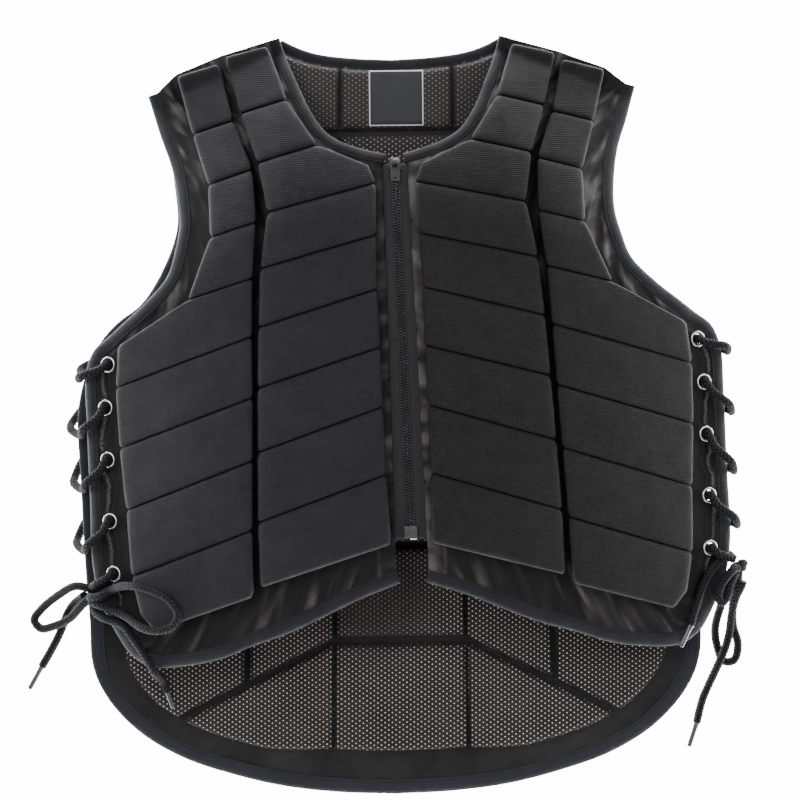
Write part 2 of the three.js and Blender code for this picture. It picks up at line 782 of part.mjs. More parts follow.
// A cord along a smooth curve through chosen points
function cordBody(points, diameter = laceDiameter, step = laceStep) {
  const curve = new THREE.CatmullRomCurve3(points.map((p) => new THREE.Vector3(...p)));
  const steps = Math.max(1, Math.round(curve.getLength() / step));
  return tubeBody(curve.getSpacedPoints(steps), diameter);
}

// A tube of laceSides faces with a ring of corners square to the path at each of its points
function tubeBody(path, diameter) {
  let side = new THREE.Vector3(0, 0, 1);
  const rings = path.map((point, i) => {
    const ahead = path[Math.min(path.length - 1, i + 1)];
    const behind = path[Math.max(0, i - 1)];
    const along = ahead.clone().sub(point).normalize();
    along.add(point.clone().sub(behind).normalize()).normalize();
    side = side.clone().addScaledVector(along, -side.dot(along)).normalize();
    const other = along.clone().cross(side);
    const ring = [];
    for (let k = 0; k < laceSides; k++) {
      const turn = ((k + 0.5) / laceSides) * 2 * Math.PI;
      const corner = point.clone().addScaledVector(side, (Math.cos(turn) * diameter) / 2);
      ring.push(corner.addScaledVector(other, (Math.sin(turn) * diameter) / 2).toArray());
    }
    return ring;
  });
  return ringedBody(rings);
}

// The laced run of one side: out of each front eyelet, round the edge of the back and up through
// the back eyelet to the next front one, with the other end led down between the two margins
function laceRun(sign) {
  const lift = laceDiameter / 2 + gap;
  const falls = sign < 0 ? rightLaceFalls : leftLaceFalls;
  const points = [];
  const spot = (frame, lay, eyelet, along, up) => {
    const { centre, tilt } = frame(eyelet);
    const normal = [Math.sin(tilt), 0, Math.cos(tilt)];
    const [x, y, z] = centre.map((value, i) => value + normal[i] * up);
    return lay([sign * (x + along), y, z]);
  };
  const front = (eyelet, along, up) => spot(frontFrame, layFront, eyelet, along, up);
  const back = (eyelet, along, up) => spot(backFrame, layBack, eyelet, along, up);
  const lead = 13; // how far inside the eyelets the second end runs
  const [first, last] = [frontEyelets[0], frontEyelets.at(-1)];
  points.push(...(sign < 0 ? rightLeadIn : leftLeadIn));
  points.push(front([last[0], last[1] + 2], -lead, -cover - 9));
  for (const share of [0.29, 0.57, 0.87]) {
    points.push(front([last[0], lerp(last[1], first[1], share)], -lead, -cover - 10));
  }
  points.push(front([first[0], first[1] - 3], -0.5 * lead, -cover - 10));
  frontEyelets.forEach((eyelet, i) => {
    points.push(front(eyelet, 0, -cover - 3.5));
    points.push(front(eyelet, 0, 4.5));
    if (i === frontEyelets.length - 1) return;
    const [x, y] = eyelet;
    const under = backEyelets[i];
    const fall = falls[i];
    const frontOut = Math.abs(layFront([sign * reachAt(frontLine, y - fall), y - fall, 0])[0]);
    const backOut = Math.abs(layBack([sign * reachAt(backLine, y - fall), y - fall, 0])[0]);
    const between = Math.max(frontOut, (frontOut + backOut) / 2);
    const level = layFront([sign * x, y, 0])[1];
    const curled = backTop(reachAt(backLine, y - fall)) - cover;
    points.push(front([x, y - 0.35 * fall], 3.5, lift + 4));
    points.push(front([x, y - 0.8 * fall], reachAt(frontLine, y - fall) - x - 1, lift + 4));
    points.push([sign * (frontOut + lift + 1), level - fall - 1, sideHeight + 1]);
    points.push([sign * (between + lift + 1), level - fall, sideHeight - 2 * cover]);
    points.push([sign * (backOut + lift + 1.5), level - fall + 4, curled + cover]);
    points.push([sign * (backOut + lift + 1.5), level - fall + 8, curled - 3]);
    points.push(back([under[0], under[1] - fall / 4], 14, -cover - lift - 2.5));
    points.push(back(under, 0, -cover - 5));
    points.push(back(under, 0, 3.5));
    points.push(back([under[0], under[1] - 20], 0, 9));
  });
  points.push(...(sign < 0 ? rightLeadOut : leftLeadOut));
  return tubeBody(points.map((p) => new THREE.Vector3(...p)), laceDiameter);
}

function bow(knot, loops) {
  const tie = new THREE.SphereGeometry(laceDiameter, 8, 6);
  tie.scale(0.95, 1.1, 0.9);
  tie.translate(...knot);
  return loops.reduce((body, loop) => body.add(cordBody(loop)), solidFrom(tie));
}

function aglet(tail, tip) {
  const start = new THREE.Vector3(...tail.at(-1));
  const end = new THREE.Vector3(...tip);
  const direction = end.clone().sub(start).normalize();
  start.addScaledVector(direction, agletGap);
  return tubeBody([start, end], agletDiameter);
}

// Zip parts close to the centre line follow the same grid lines as the carrier
function zipLines(top, bottom) {
  return [top, ...carrierY.filter((y) => y < top - 1 && y > bottom + 1), bottom];
}

const tapeTop = -cover - gap; // below the upper face of the carrier
const chainTop = tapeTop + gap + chainThick;

function zipTape() {
  const lines = zipLines(zipTop, zipBottom - boxLength);
  return sheetSolid([tapeGap, tapeHalf], lines,
    (x, y) => facetHeight(x, y) + tapeTop,
    (x, y) => facetHeight(x, y) + tapeTop - tapeThick);
}

function zipChain() {
  const lines = zipLines(sliderTop + 1, zipBottom + gap);
  return sheetSolid([-chainHalf, chainHalf], lines,
    (x, y) => facetHeight(0, y) + chainTop,
    (x, y) => facetHeight(0, y) + tapeTop + gap);
}

function boxSolid(size, centre) {
  return solidFrom(new THREE.BoxGeometry(...size).translate(...centre));
}

// The slider's own frame: its middle on the chain's upper face, tilted with the facet below it
const sliderY = sliderTop - sliderLength / 2;
const sliderClimb = facetHeight(0, sliderTop) - facetHeight(0, sliderTop - sliderLength);
const sliderPitch = Math.atan(sliderClimb / sliderLength);
const plateTop = gap + sliderPlate;
const pivotHeight = plateTop + gap + pullBar;

function onSlider(solid) {
  const geometry = geometryFrom(solid);
  geometry.rotateX(sliderPitch);
  geometry.translate(0, sliderY, facetHeight(0, sliderY) + chainTop);
  return solidFrom(geometry);
}

function zipSlider() {
  const length = sliderLength - 1;
  const width = 2 * (chainHalf + gap + sliderWall);
  const wallHeight = chainThick + plateTop - gap;
  const wall = chainHalf + gap + sliderWall / 2;
  const wallMiddle = plateTop - wallHeight / 2;
  const end = (bridgeLength - bridgeBar) / 2;
  const post = [bridgeWidth, bridgeBar, bridgeHeight + sliderPlate / 2];
  const postMiddle = plateTop + bridgeHeight / 2 - sliderPlate / 4;
  const barMiddle = plateTop + bridgeHeight - bridgeBar / 2;
  return boxSolid([width, length, sliderPlate], [0, 0, gap + sliderPlate / 2])
    .add(boxSolid([sliderWall, length, wallHeight], [wall, 0, wallMiddle]))
    .add(boxSolid([sliderWall, length, wallHeight], [-wall, 0, wallMiddle]))
    .add(boxSolid([bridgeWidth, bridgeLength, bridgeBar], [0, 0, barMiddle]))
    .add(boxSolid(post, [0, end, postMiddle]))
    .add(boxSolid(post, [0, -end, postMiddle]));
}

// The pull tab with its cross bar under the bridge, lying towards the hem
function zipPull() {
  const arm = (pullWidth - bridgeWidth) / 2 - 2 * gap;
  const armMiddle = (pullWidth - arm) / 2;
  const tabLength = pullLength - pullEye;
  const bar = new THREE.CylinderGeometry(pullBar, pullBar, pullWidth - 1, 10);
  bar.rotateZ(90 * DEG);
  bar.translate(0, 0, pivotHeight);
  return solidFrom(bar)
    .add(boxSolid([arm, pullEye + 1, pullThick], [armMiddle, -pullEye / 2, pivotHeight]))
    .add(boxSolid([arm, pullEye + 1, pullThick], [-armMiddle, -pullEye / 2, pivotHeight]))
    .add(boxSolid([pullWidth, tabLength, pullThick], [0, -pullEye - tabLength / 2, pivotHeight]));
}

function zipBox() {
  const z = facetHeight(0, zipBottom - boxLength / 2) + tapeTop + gap + boxHeight / 2;
  return boxSolid([2 * boxHalf, boxLength, boxHeight], [0, zipBottom - boxLength / 2, z + gap]);
}

function labelPatch() {
  const middle = neckTop - backNeckEdge[0].down * backLength - neckBinding - 1 - labelHeight / 2;
  const level = backFoam + gap + labelThick / 2;
  return boxSolid([labelWidth, labelHeight, labelThick], [tileShift, middle, level]);
}

// Assembly
place("back_panel", backPanel(), liningMesh, layBack);

const backRound = [...backLine, ...backLine.slice(0, -1).toReversed().map(mirror)];
const backMiddle = (x) => backTop(x) - cover / 2;
place("back_binding", bindingBody(backRound, 1, backBinding, backMiddle), bindingKnit, layBack);

place("neck_back_binding", bindingBody(backNeckFull, 1, neckBinding, backMiddle), bindingKnit, layBack);
place("label_patch", labelPatch(), labelCloth, layBack);

const shell = frontShell();
const innerPad = padColumn(innerRows);
const outerPad = padColumn(outerRows);
const frontMiddle = (x, y) => frontHeight(Math.max(0, x), y) - cover / 2;
const edgeBand = bindingBody(frontLine, 1, frontBinding, frontMiddle);
const neckBand = bindingBody(neckLine, -1, neckBinding, frontMiddle);
const tape = zipTape();
for (const { word, sign } of sides) {
  const lay = layMirrored(sign, layFront);
  place(`front_${word}_shell`, shell, marginCloth, lay);
  place(`front_${word}_inner_pad`, innerPad, blockCloth, lay);
  place(`front_${word}_outer_pad`, outerPad, blockCloth, lay);
  place(`front_${word}_binding`, edgeBand, bindingKnit, lay);
  place(`neck_${word}_binding`, neckBand, bindingKnit, lay);
  place(`zip_tape_${word}`, tape, zipPlastic, lay);
  frontEyelets.forEach((eyelet, i) => {
    place(`eyelet_front_${word}_${i + 1}`, eyeletRing(eyelet, frontFrame), eyeletSteel, lay);
  });
  backEyelets.forEach((eyelet, i) => {
    const backLay = layMirrored(sign, layBack);
    place(`eyelet_back_${word}_${i + 1}`, eyeletRing(eyelet, backFrame), eyeletSteel, backLay);
  });
  place(`lace_${word}_run`, laceRun(sign), laceBraid);
}

place("zip_chain", zipChain(), zipPlastic, layFront);
place("zip_slider", onSlider(zipSlider()), zipMetal, layFront);
place("zip_pull", onSlider(zipPull()), zipMetal, layFront);
place("zip_bottom_box", zipBox(), zipPlastic, layFront);

place("lace_right_bow", bow(rightKnot, [rightSideLoop, rightBlockLoop]), laceBraid);
place("lace_right_short_tail", cordBody(rightShortTail), laceBraid);
place("lace_right_long_tail", cordBody(rightLongTail), laceBraid);
place("aglet_right_short", aglet(rightShortTail, rightShortTip), agletPlastic);
place("aglet_right_long", aglet(rightLongTail, rightLongTip), agletPlastic);
place("lace_left_bow", bow(leftKnot, [leftSideLoop, leftBlockLoop]), laceBraid);
place("lace_left_short_tail", cordBody(leftShortTail), laceBraid);
place("lace_left_long_tail", cordBody(leftLongTail), laceBraid);
place("aglet_left_short", aglet(leftShortTail, leftShortTip), agletPlastic);
place("aglet_left_long", aglet(leftLongTail, leftLongTip), agletPlastic);

export default vest;
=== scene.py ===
"""The looks of an equestrian body protector that lies on its back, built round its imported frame.

Shapes are made in millimetres in the pattern of one half (x out from the centre line, y towards
the neck, z up from the floor), laid like the solids that they stand for, and stored in metres.
"""
import math

import bmesh
import bpy
import numpy as np
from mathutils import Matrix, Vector, geometry


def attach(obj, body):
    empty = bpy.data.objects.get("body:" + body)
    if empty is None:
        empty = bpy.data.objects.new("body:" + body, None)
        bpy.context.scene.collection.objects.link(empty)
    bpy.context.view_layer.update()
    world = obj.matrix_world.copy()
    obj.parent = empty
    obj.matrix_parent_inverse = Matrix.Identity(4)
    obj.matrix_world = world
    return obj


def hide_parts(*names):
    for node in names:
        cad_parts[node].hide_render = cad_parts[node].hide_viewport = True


MM = 0.001
BODY = "vest"
CAMERA_PLACE = (0.0033, 0.0133, 2.4)
CAMERA_LENS = 126.63
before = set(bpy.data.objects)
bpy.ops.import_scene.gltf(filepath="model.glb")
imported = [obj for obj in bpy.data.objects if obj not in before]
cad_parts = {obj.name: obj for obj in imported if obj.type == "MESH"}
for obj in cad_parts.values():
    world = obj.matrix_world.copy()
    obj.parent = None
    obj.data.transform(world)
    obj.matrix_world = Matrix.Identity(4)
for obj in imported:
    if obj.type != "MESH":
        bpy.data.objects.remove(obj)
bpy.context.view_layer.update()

# Camera

camera_data = bpy.data.cameras.new("camera")
camera_data.sensor_width = 36
camera_data.lens = CAMERA_LENS
camera_data.clip_end = 10
camera = bpy.data.objects.new("camera", camera_data)
camera.location = CAMERA_PLACE
bpy.context.scene.collection.objects.link(camera)
bpy.context.scene.camera = camera

# Sizes, as in the part's source

NECK_TOP, FRONT_LENGTH, BACK_LENGTH = 320, 520, 641
CHEST_HALF, EDGE_HALF, BACK_HALF, CENTRE_EDGE = 240, 268.08, 267, 10.2
COVER, FOAM, BACK_FOAM, BINDING_THICK, GAP, WEB_HEIGHT = 3, 19, 20, 5, 0.3, 9.5
NECK_BINDING, FRONT_BINDING, BACK_BINDING = 9, 10, 12.5
SEAM_HEIGHT = BACK_FOAM + GAP + (BINDING_THICK - COVER) / 2 + COVER
CHEST_HEIGHT, FOAM_EDGE_HEIGHT, SIDE_HEIGHT, FOAM_REACH = 98, 42, 34, 245
SEAM_SEAT, SHOULDER_RUN, SHOULDER_SLOPE, ARCH_POWER = 12, 160, 0.41, 2.2
HEM_DROP_START, HEM_DROP_RUN, HEM_DROP = -60, 150, 0.15
FRONT_TURN, SHOULDER_TURN, TURN_BLEND, FRONT_SHIFT = 0.0435, 0.012, 125, -5
BACK_TURN, BACK_LEAN, BACK_SHIFT, SHIFT_LEVEL = 0.013, 0.008, -4.2, 300
BACK_CURL, CURL_START = 8, 222
TILE_TOP, TILE_TAIL, TILE_SHIFT = (47, 116), (58, 133), 4
ARM_BORDER, SIDE_BORDER, CORNER_BORDER, BORDER_LEVEL, BORDER_BLEND = 22, 36, 28, 96.4, 60
EYELET_MARGIN, EYELET_HOLE, EYELET_RIM = 0.9, 4.6, 6.65
LACE = 7.5
ZIP_TOP, ZIP_BOTTOM, SLIDER_TOP, SLIDER_LENGTH, BOX_LENGTH = 208, -88, 214, 14, 13
CHAIN_THICK = 2.6

NECK_EDGE = [(0.386, 0.0), (0.369, 0.027), (0.325, 0.079), (0.283, 0.124), (0.232, 0.159),
             (0.18, 0.176), (0.096, 0.191), (0.028, 0.199)]
SHOULDER_EDGE = [(0.59, 0.027), (0.755, 0.056)]
FRONT_EDGE = [(0.857, 0.089), (0.817, 0.149), (0.781, 0.196), (0.762, 0.237), (0.753, 0.296),
              (0.775, 0.342), (0.804, 0.377), (0.882, 0.415), (0.971, 0.448), (1.025, 0.468),
              (1.083, 0.49), (1.113, 0.528), (1.117, 0.6), (1.117, 0.72), (1.117, 0.84),
              (1.092, 0.897), (1.04, 0.948), (0.993, 0.98), (0.92, 1.0), (0.775, 0.998),
              (0.658, 0.987), (0.574, 0.972), (0.422, 0.949), (0.188, 0.902), (0.044, 0.878)]
BACK_NECK_EDGE = [(0.0, 0.028), (0.13, 0.025), (0.234, 0.019), (0.294, 0.011), (0.347, 0.0)]
BACK_EDGE = [(0.77, 0.072), (0.735, 0.12), (0.706, 0.153), (0.692, 0.191), (0.684, 0.244),
             (0.722, 0.294), (0.798, 0.346), (0.874, 0.371), (0.922, 0.393), (0.96, 0.421),
             (1.0, 0.484), (0.994, 0.583), (0.981, 0.7), (0.969, 0.77), (0.965, 0.815),
             (0.945, 0.845), (0.895, 0.88), (0.807, 0.917), (0.676, 0.949), (0.524, 0.971),
             (0.356, 0.988), (0.18, 0.997), (0.0, 1.0)]
INNER_ROWS = [((0.579, 0.033), (0.426, 0.016)), ((0.527, 0.126), (0.362, 0.107)),
              ((0.47, 0.207), (0.26, 0.182), (0.09, 0.219)), ((0.441, 0.287), (0.066, 0.248)),
              ((0.475, 0.375), (0.075, 0.331)), ((0.489, 0.467), (0.078, 0.415)),
              ((0.5, 0.562), (0.075, 0.506)), ((0.51, 0.663), (0.076, 0.599)),
              ((0.52, 0.773), (0.075, 0.705)), ((0.521, 0.876), (0.068, 0.815))]
OUTER_ROWS = [((0.6, 0.043), (0.75, 0.062)), ((0.551, 0.136), (0.698, 0.154)),
              ((0.487, 0.216), (0.645, 0.236)), ((0.48, 0.301), (0.643, 0.321)),
              ((0.501, 0.389), (0.732, 0.418), (0.985, 0.485)), ((0.511, 0.48), (1.0, 0.551)),
              ((0.517, 0.576), (0.996, 0.648)), ((0.527, 0.675), (0.981, 0.747)),
              ((0.538, 0.784), (0.973, 0.853), (0.945, 0.913)), ((0.545, 0.89), (0.896, 0.94))]
TILE_ROWS = [(-0.03, 0), (0.125, 0), (0.234, 0.06), (0.343, 0.14), (0.452, 0.21), (0.561, 0.28),
             (0.67, 0.37), (0.796, 0.49), (1.04, 0.49)]
EYELET_DOWN = [0.512, 0.581, 0.665, 0.764, 0.849]

# Free cords, by the same points as the solids
RIGHT_KNOT = (-254, -149, 27.2)
RIGHT_SIDE_LOOP = [(-257, -145.5, 32), (-270, -143.5, 29), (-286, -152, 18), (-302, -165, 7),
                   (-308, -174, 4.4), (-302.5, -181, 5), (-290, -178.5, 11.5), (-276, -171.5, 19),
                   (-266, -161, 27), (-258, -153.5, 32)]
RIGHT_BLOCK_LOOP = [(-256, -151.5, 33), (-256, -152.5, 42), (-248, -151, 47), (-238, -145.5, 49),
                    (-226, -141, 63.5), (-214, -141, 74.6), (-203.5, -143.5, 79),
                    (-188, -150.5, 84.4), (-179.5, -162, 86.9), (-184, -173, 84.6),
                    (-197, -177, 79.8), (-210, -175, 72.5), (-223, -168, 58), (-236, -162.5, 48.5),
                    (-248.5, -158.5, 45), (-256, -156, 38.5)]
RIGHT_SHORT_TAIL = [(-263.4, -151.5, 23), (-268, -155, 14.5), (-275, -161, 6.5),
                    (-280.5, -170, 4.2), (-284, -180, 4.2), (-289, -191, 4.2), (-296, -204, 4.2),
                    (-301.5, -213.5, 4.1)]
RIGHT_LONG_TAIL = [(-254.5, -160.8, 29.6), (-252, -165, 38), (-245, -169, 44), (-237, -171.5, 46),
                   (-228, -175.5, 48.8), (-218.5, -187, 52.2), (-209, -200, 56.3),
                   (-204, -208, 57.8), (-201, -214.6, 55), (-199.5, -218.5, 42),
                   (-196.3, -224, 27.5), (-193.3, -233, 24.2)]
RIGHT_LEAD_OUT = [(-243, -136.5, 46), (-250.5, -140.5, 42.8), (-255.2, -143.8, 35.6)]
RIGHT_LEAD_IN = [(-245.3, -149.5, 23.2), (-238, -143, 24)]
LEFT_KNOT = (287.8, -126, 36)
LEFT_SIDE_LOOP = [(288.5, -130, 31), (288.5, -138, 26), (286, -156, 13), (286.7, -178, 5),
                  (291, -195, 4.3), (287.6, -208, 4.3), (279.1, -209, 4.3), (273.1, -195.5, 4.3),
                  (271.4, -181, 6), (274.6, -163.5, 14), (278.5, -149, 24), (284, -133, 33)]
LEFT_BLOCK_LOOP = [(286.5, -127, 42), (280.5, -130, 47), (273.5, -139, 46.2),
                   (269.5, -149, 46.5), (272.5, -156.5, 44.5), (277.5, -151, 42.5),
                   (280.5, -140, 41.5), (285, -131, 40)]
LEFT_SHORT_TAIL = [(271, -121.4, 43.2), (264.5, -127.5, 45.1), (257.7, -139.6, 48),
                   (251.4, -156.3, 51), (248, -166, 52.6), (245.6, -174.6, 54.4)]
LEFT_LONG_TAIL = [(291.5, -138.9, 38.2), (289.5, -144.5, 36), (286.5, -152, 30.5),
                  (284, -166, 21), (282.5, -184, 14), (279.5, -196, 13), (275, -207, 12.8),
                  (270.5, -218, 9.3), (266, -229, 5.2), (261, -241, 4.2), (258, -252, 4.2),
                  (256, -261, 4.1)]
LEFT_LEAD_OUT = [(269, -114.5, 47), (277, -118, 44), (283.2, -119.9, 40.2)]
LEFT_LEAD_IN = [(284.8, -120.5, 28), (281, -117, 24.5), (269, -113, 23.5)]
RIGHT_SHORT_TIP = (-312.5, -233, 2.3)
RIGHT_LONG_TIP = (-188.3, -247, 22.2)
LEFT_SHORT_TIP = (237, -192, 58.5)
LEFT_LONG_TIP = (249.5, -282, 2.3)

RIGHT_FALLS = [11, 22, 24, 24]
LEFT_FALLS = [9, 24, 30, 24]

SIDES = [("right", -1), ("left", 1)]

# Sizes of the scene's own meshes
LINE_STEP = 3.0
BLOCK_STEP = 3.2
CLOTH_STEP = 2.1
CLOTH_OUTLINE_STEP = 2.6
BACK_STEP = 4.6
GROOVE_STEP = 4.0
CORNER_PINCH, PINCH_REACH, PINCH_FADE = 2.4, 4.5, 7
BLOCK_SIDE_DROP = 19.6
BLOCK_CROWN = 1.1
TOOTH_PITCH = 2.3
LABEL_WIDTH, LABEL_HEIGHT, LABEL_RIM = 46.0, 47.0, 1.1
SHEET_LAP = 2.0
HEM_EXTRA, HEM_LEVEL, HEM_BLEND = 1.4, -132, 20

# Noise and small maths


def lerp(a, b, t):
    return a + (b - a) * t


def smooth(t):
    t = np.clip(t, 0, 1)
    return t * t * (3 - 2 * t)


def lattice(ix, iy, seed):
    value = np.sin(ix * 127.1 + iy * 311.7 + seed * 74.7) * 43758.5453
    return value - np.floor(value)


def noise(x, y, seed=0):
    """Smooth value noise from -0.5 to 0.5, one cell a unit."""
    ix, iy = np.floor(x), np.floor(y)
    fx, fy = smooth(x - ix), smooth(y - iy)
    low = lerp(lattice(ix, iy, seed), lattice(ix + 1, iy, seed), fx)
    high = lerp(lattice(ix, iy + 1, seed), lattice(ix + 1, iy + 1, seed), fx)
    return lerp(low, high, fy) - 0.5


def ridge(offset, width):
    """A rounded line at offset 0."""
    return np.exp(-(offset / width) ** 2)


def fbm(x, y, seed=0):
    """Noise of three sizes."""
    middle = 0.5 * noise(2.1 * x, 2.1 * y, seed + 5)
    return noise(x, y, seed) + middle + 0.25 * noise(4.3 * x, 4.3 * y, seed + 9)


# The part's shapes, smooth


def front_height(x, y):
    """Upper face of a front carrier over the floor."""
    x, y = np.maximum(0, np.asarray(x, float)), np.asarray(y, float)
    shoulder = NECK_TOP - SHOULDER_SLOPE * np.maximum(0, x - NECK_EDGE[0][0] * CHEST_HALF)
    rise = np.sin(math.pi / 2 * np.clip((shoulder - y - SEAM_SEAT) / SHOULDER_RUN, 0, 1))
    hem = 1 - HEM_DROP * np.clip((HEM_DROP_START - y) / HEM_DROP_RUN, 0, 1)
    arch = 1 - np.clip(x / FOAM_REACH, 0, 1) ** ARCH_POWER
    margin = np.maximum(0, (x - FOAM_REACH) / (EDGE_HALF - FOAM_REACH))
    vault = FOAM_EDGE_HEIGHT + (CHEST_HEIGHT - FOAM_EDGE_HEIGHT) * arch * hem
    crown = vault - (FOAM_EDGE_HEIGHT - SIDE_HEIGHT) * margin
    return SEAM_HEIGHT + rise * (crown - SEAM_HEIGHT)


def back_top(x):
    curl = np.maximum(0, (np.abs(x) - CURL_START) / (BACK_HALF - CURL_START))
    return WEB_HEIGHT + COVER + BACK_CURL * curl


def lay_front(points):
    p = np.array(points, float).reshape(-1, 3)
    blend = smooth((NECK_TOP - p[:, 1]) / TURN_BLEND)
    turn = lerp(SHOULDER_TURN, FRONT_TURN, blend)
    out = p.copy()
    out[:, 0] = p[:, 0] + FRONT_SHIFT + FRONT_TURN * (SHIFT_LEVEL - p[:, 1])
    out[:, 1] = p[:, 1] + turn * p[:, 0]
    return out


def lay_back(points):
    p = np.array(points, float).reshape(-1, 3)
    out = p.copy()
    out[:, 0] = p[:, 0] + BACK_SHIFT + BACK_LEAN * (SHIFT_LEVEL - p[:, 1])
    out[:, 1] = p[:, 1] + BACK_TURN * p[:, 0]
    return out


def sided(lay, sign):
    return lambda points: lay(np.array(points, float).reshape(-1, 3) * (sign, 1, 1))


def catmull(points, step):
    """Points a step apart along a smooth line through the given ones."""
    p = np.array(points, float)
    p = np.vstack([2 * p[0] - p[1], p, 2 * p[-1] - p[-2]])
    dense = [p[1]]
    for i in range(1, len(p) - 2):
        gaps = [max(1e-6, np.linalg.norm(p[i + k] - p[i + k - 1])) ** 0.5 for k in range(3)]
        first = ((p[i] - p[i - 1]) / gaps[0] - (p[i + 1] - p[i - 1]) / (gaps[0] + gaps[1])
                 + (p[i + 1] - p[i]) / gaps[1]) * gaps[1]
        second = ((p[i + 1] - p[i]) / gaps[1] - (p[i + 2] - p[i]) / (gaps[1] + gaps[2])
                  + (p[i + 2] - p[i + 1]) / gaps[2]) * gaps[1]
        for t in np.linspace(0, 1, 25)[1:]:
            square, cube = t ** 2, t ** 3
            h = (2 * cube - 3 * square + 1, cube - 2 * square + t, 3 * square - 2 * cube, cube - square)
            dense.append(h[0] * p[i] + h[1] * first + h[2] * p[i + 1] + h[3] * second)
    return resampled(np.array(dense), step)


def lengths_along(line):
    return np.concatenate([[0], np.cumsum(np.linalg.norm(np.diff(line, axis=0), axis=1))])


def resampled(line, step):
    lengths = lengths_along(line)
    count = max(2, int(round(lengths[-1] / step)))
    at = np.linspace(0, lengths[-1], count + 1)
    return np.stack([np.interp(at, lengths, line[:, k]) for k in range(line.shape[1])], 1)


def plan(table, half, length):
    return np.array([(out * half, NECK_TOP - down * length) for out, down in table])


def inset_directions(line, sign):
    after = np.vstack([line[1:], line[-1:]])
    before = np.vstack([line[:1], line[:-1]])
    along = after - before
    along /= np.linalg.norm(along, axis=1)[:, None]
    return sign * np.stack([along[:, 1], -along[:, 0]], 1)


def inset(line, sign, width):
    return line + inset_directions(line, sign) * np.reshape(width, (-1, 1))


neck_line = catmull(plan(NECK_EDGE, CHEST_HALF, FRONT_LENGTH), LINE_STEP)
front_line = catmull(plan(FRONT_EDGE, CHEST_HALF, FRONT_LENGTH), LINE_STEP)
shoulder_points = plan(SHOULDER_EDGE, CHEST_HALF, FRONT_LENGTH)
back_line = catmull(plan(BACK_EDGE, BACK_HALF, BACK_LENGTH), LINE_STEP)
back_neck = catmull(plan(BACK_NECK_EDGE, BACK_HALF, BACK_LENGTH), LINE_STEP)
back_neck_full = np.vstack([back_neck[::-1] * (-1, 1), back_neck[1:]])
back_round = np.vstack([back_line, (back_line[:-1] * (-1, 1))[::-1]])


def reach_at(line, level):
    for k in range(1, len(line)):
        if line[k][1] <= level < line[k - 1][1]:
            share = (line[k - 1][1] - level) / (line[k - 1][1] - line[k][1])
            return lerp(line[k - 1][0], line[k][0], share)
    raise ValueError("the line does not cross that level")


def eyelets_along(line, binding):
    spots = []
    for down in EYELET_DOWN:
        level = NECK_TOP - down * FRONT_LENGTH
        ends = [reach_at(line, level + EYELET_RIM), reach_at(line, level - EYELET_RIM)]
        lean = math.hypot(1, (ends[0] - ends[1]) / (2 * EYELET_RIM))
        spots.append((reach_at(line, level) - (binding + EYELET_MARGIN + EYELET_RIM) * lean, level))
    return spots


front_eyelets = eyelets_along(front_line, FRONT_BINDING)
back_eyelets = eyelets_along(back_line, BACK_BINDING)


def front_spot(spot):
    x, y = spot
    slope = float(front_height(x + 3, y) - front_height(x - 3, y)) / 6
    return np.array([x, y, float(front_height(x, y))]), math.atan(-slope)


def back_spot(spot):
    x, y = spot
    inner, outer = float(back_top(x - EYELET_RIM)), float(back_top(x + EYELET_RIM))
    return np.array([x, y, (inner + outer) / 2]), math.atan((inner - outer) / (2 * EYELET_RIM))


# Meshes


def new_mesh(name, points, faces, material, uvs=None, layers=None, smooth_shade=True, body=BODY):
    """A piece that rides on a body. points in mm, uvs one pair a point."""
    mesh = bpy.data.meshes.new(name)
    mesh.from_pydata((np.asarray(points) * MM).tolist(), [], faces)
    mesh.validate()
    if uvs is not None:
        layer = mesh.uv_layers.new(name="UVMap")
        index = np.zeros(len(mesh.loops), int)
        mesh.loops.foreach_get("vertex_index", index)
        layer.data.foreach_set("uv", np.asarray(uvs, np.float32)[index].ravel())
    for key, values in (layers or {}).items():
        attribute = mesh.attributes.new(key, "FLOAT", "POINT")
        attribute.data.foreach_set("value", np.asarray(values, np.float32))
    mesh.polygons.foreach_set("use_smooth", [smooth_shade] * len(mesh.polygons))
    mesh.materials.append(material)
    mesh.update()
    piece = bpy.data.objects.new(name, mesh)
    bpy.context.scene.collection.objects.link(piece)
    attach(piece, body)
    return piece


def dress(piece, slot, *nodes):
    """Hides the CAD nodes that the piece stands for; the slot argument is not used."""
    if nodes:
        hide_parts(*nodes)
    return piece


def ring_faces(rings, count):
    """Faces of a closed body made of rings of points, with both ends capped."""
    faces = []
    for r in range(rings - 1):
        for i in range(count):
            a, b = r * count + i, r * count + (i + 1) % count
            faces.append((a, b, b + count, a + count))
    faces.append(tuple(range(count))[::-1])
    faces.append(tuple(range((rings - 1) * count, rings * count)))
    return faces


def slab_faces(rows, columns):
    """Faces of a closed slab: the upper grid's points row by row, then the lower grid's."""
    total, last = rows * columns, (rows - 1) * columns
    faces = []
    for r in range(rows - 1):
        for i in range(columns - 1):
            a = r * columns + i
            faces.append((a, a + 1, a + 1 + columns, a + columns))
            faces.append((total + a + columns, total + a + 1 + columns, total + a + 1, total + a))
    rim = ([(i, i + 1) for i in range(columns - 1)]
           + [(last + i + 1, last + i) for i in range(columns - 1)]
           + [((r + 1) * columns, r * columns) for r in range(rows - 1)]
           + [(r * columns + columns - 1, (r + 1) * columns + columns - 1) for r in range(rows - 1)])
    return faces + [(b, a, total + a, total + b) for a, b in rim]


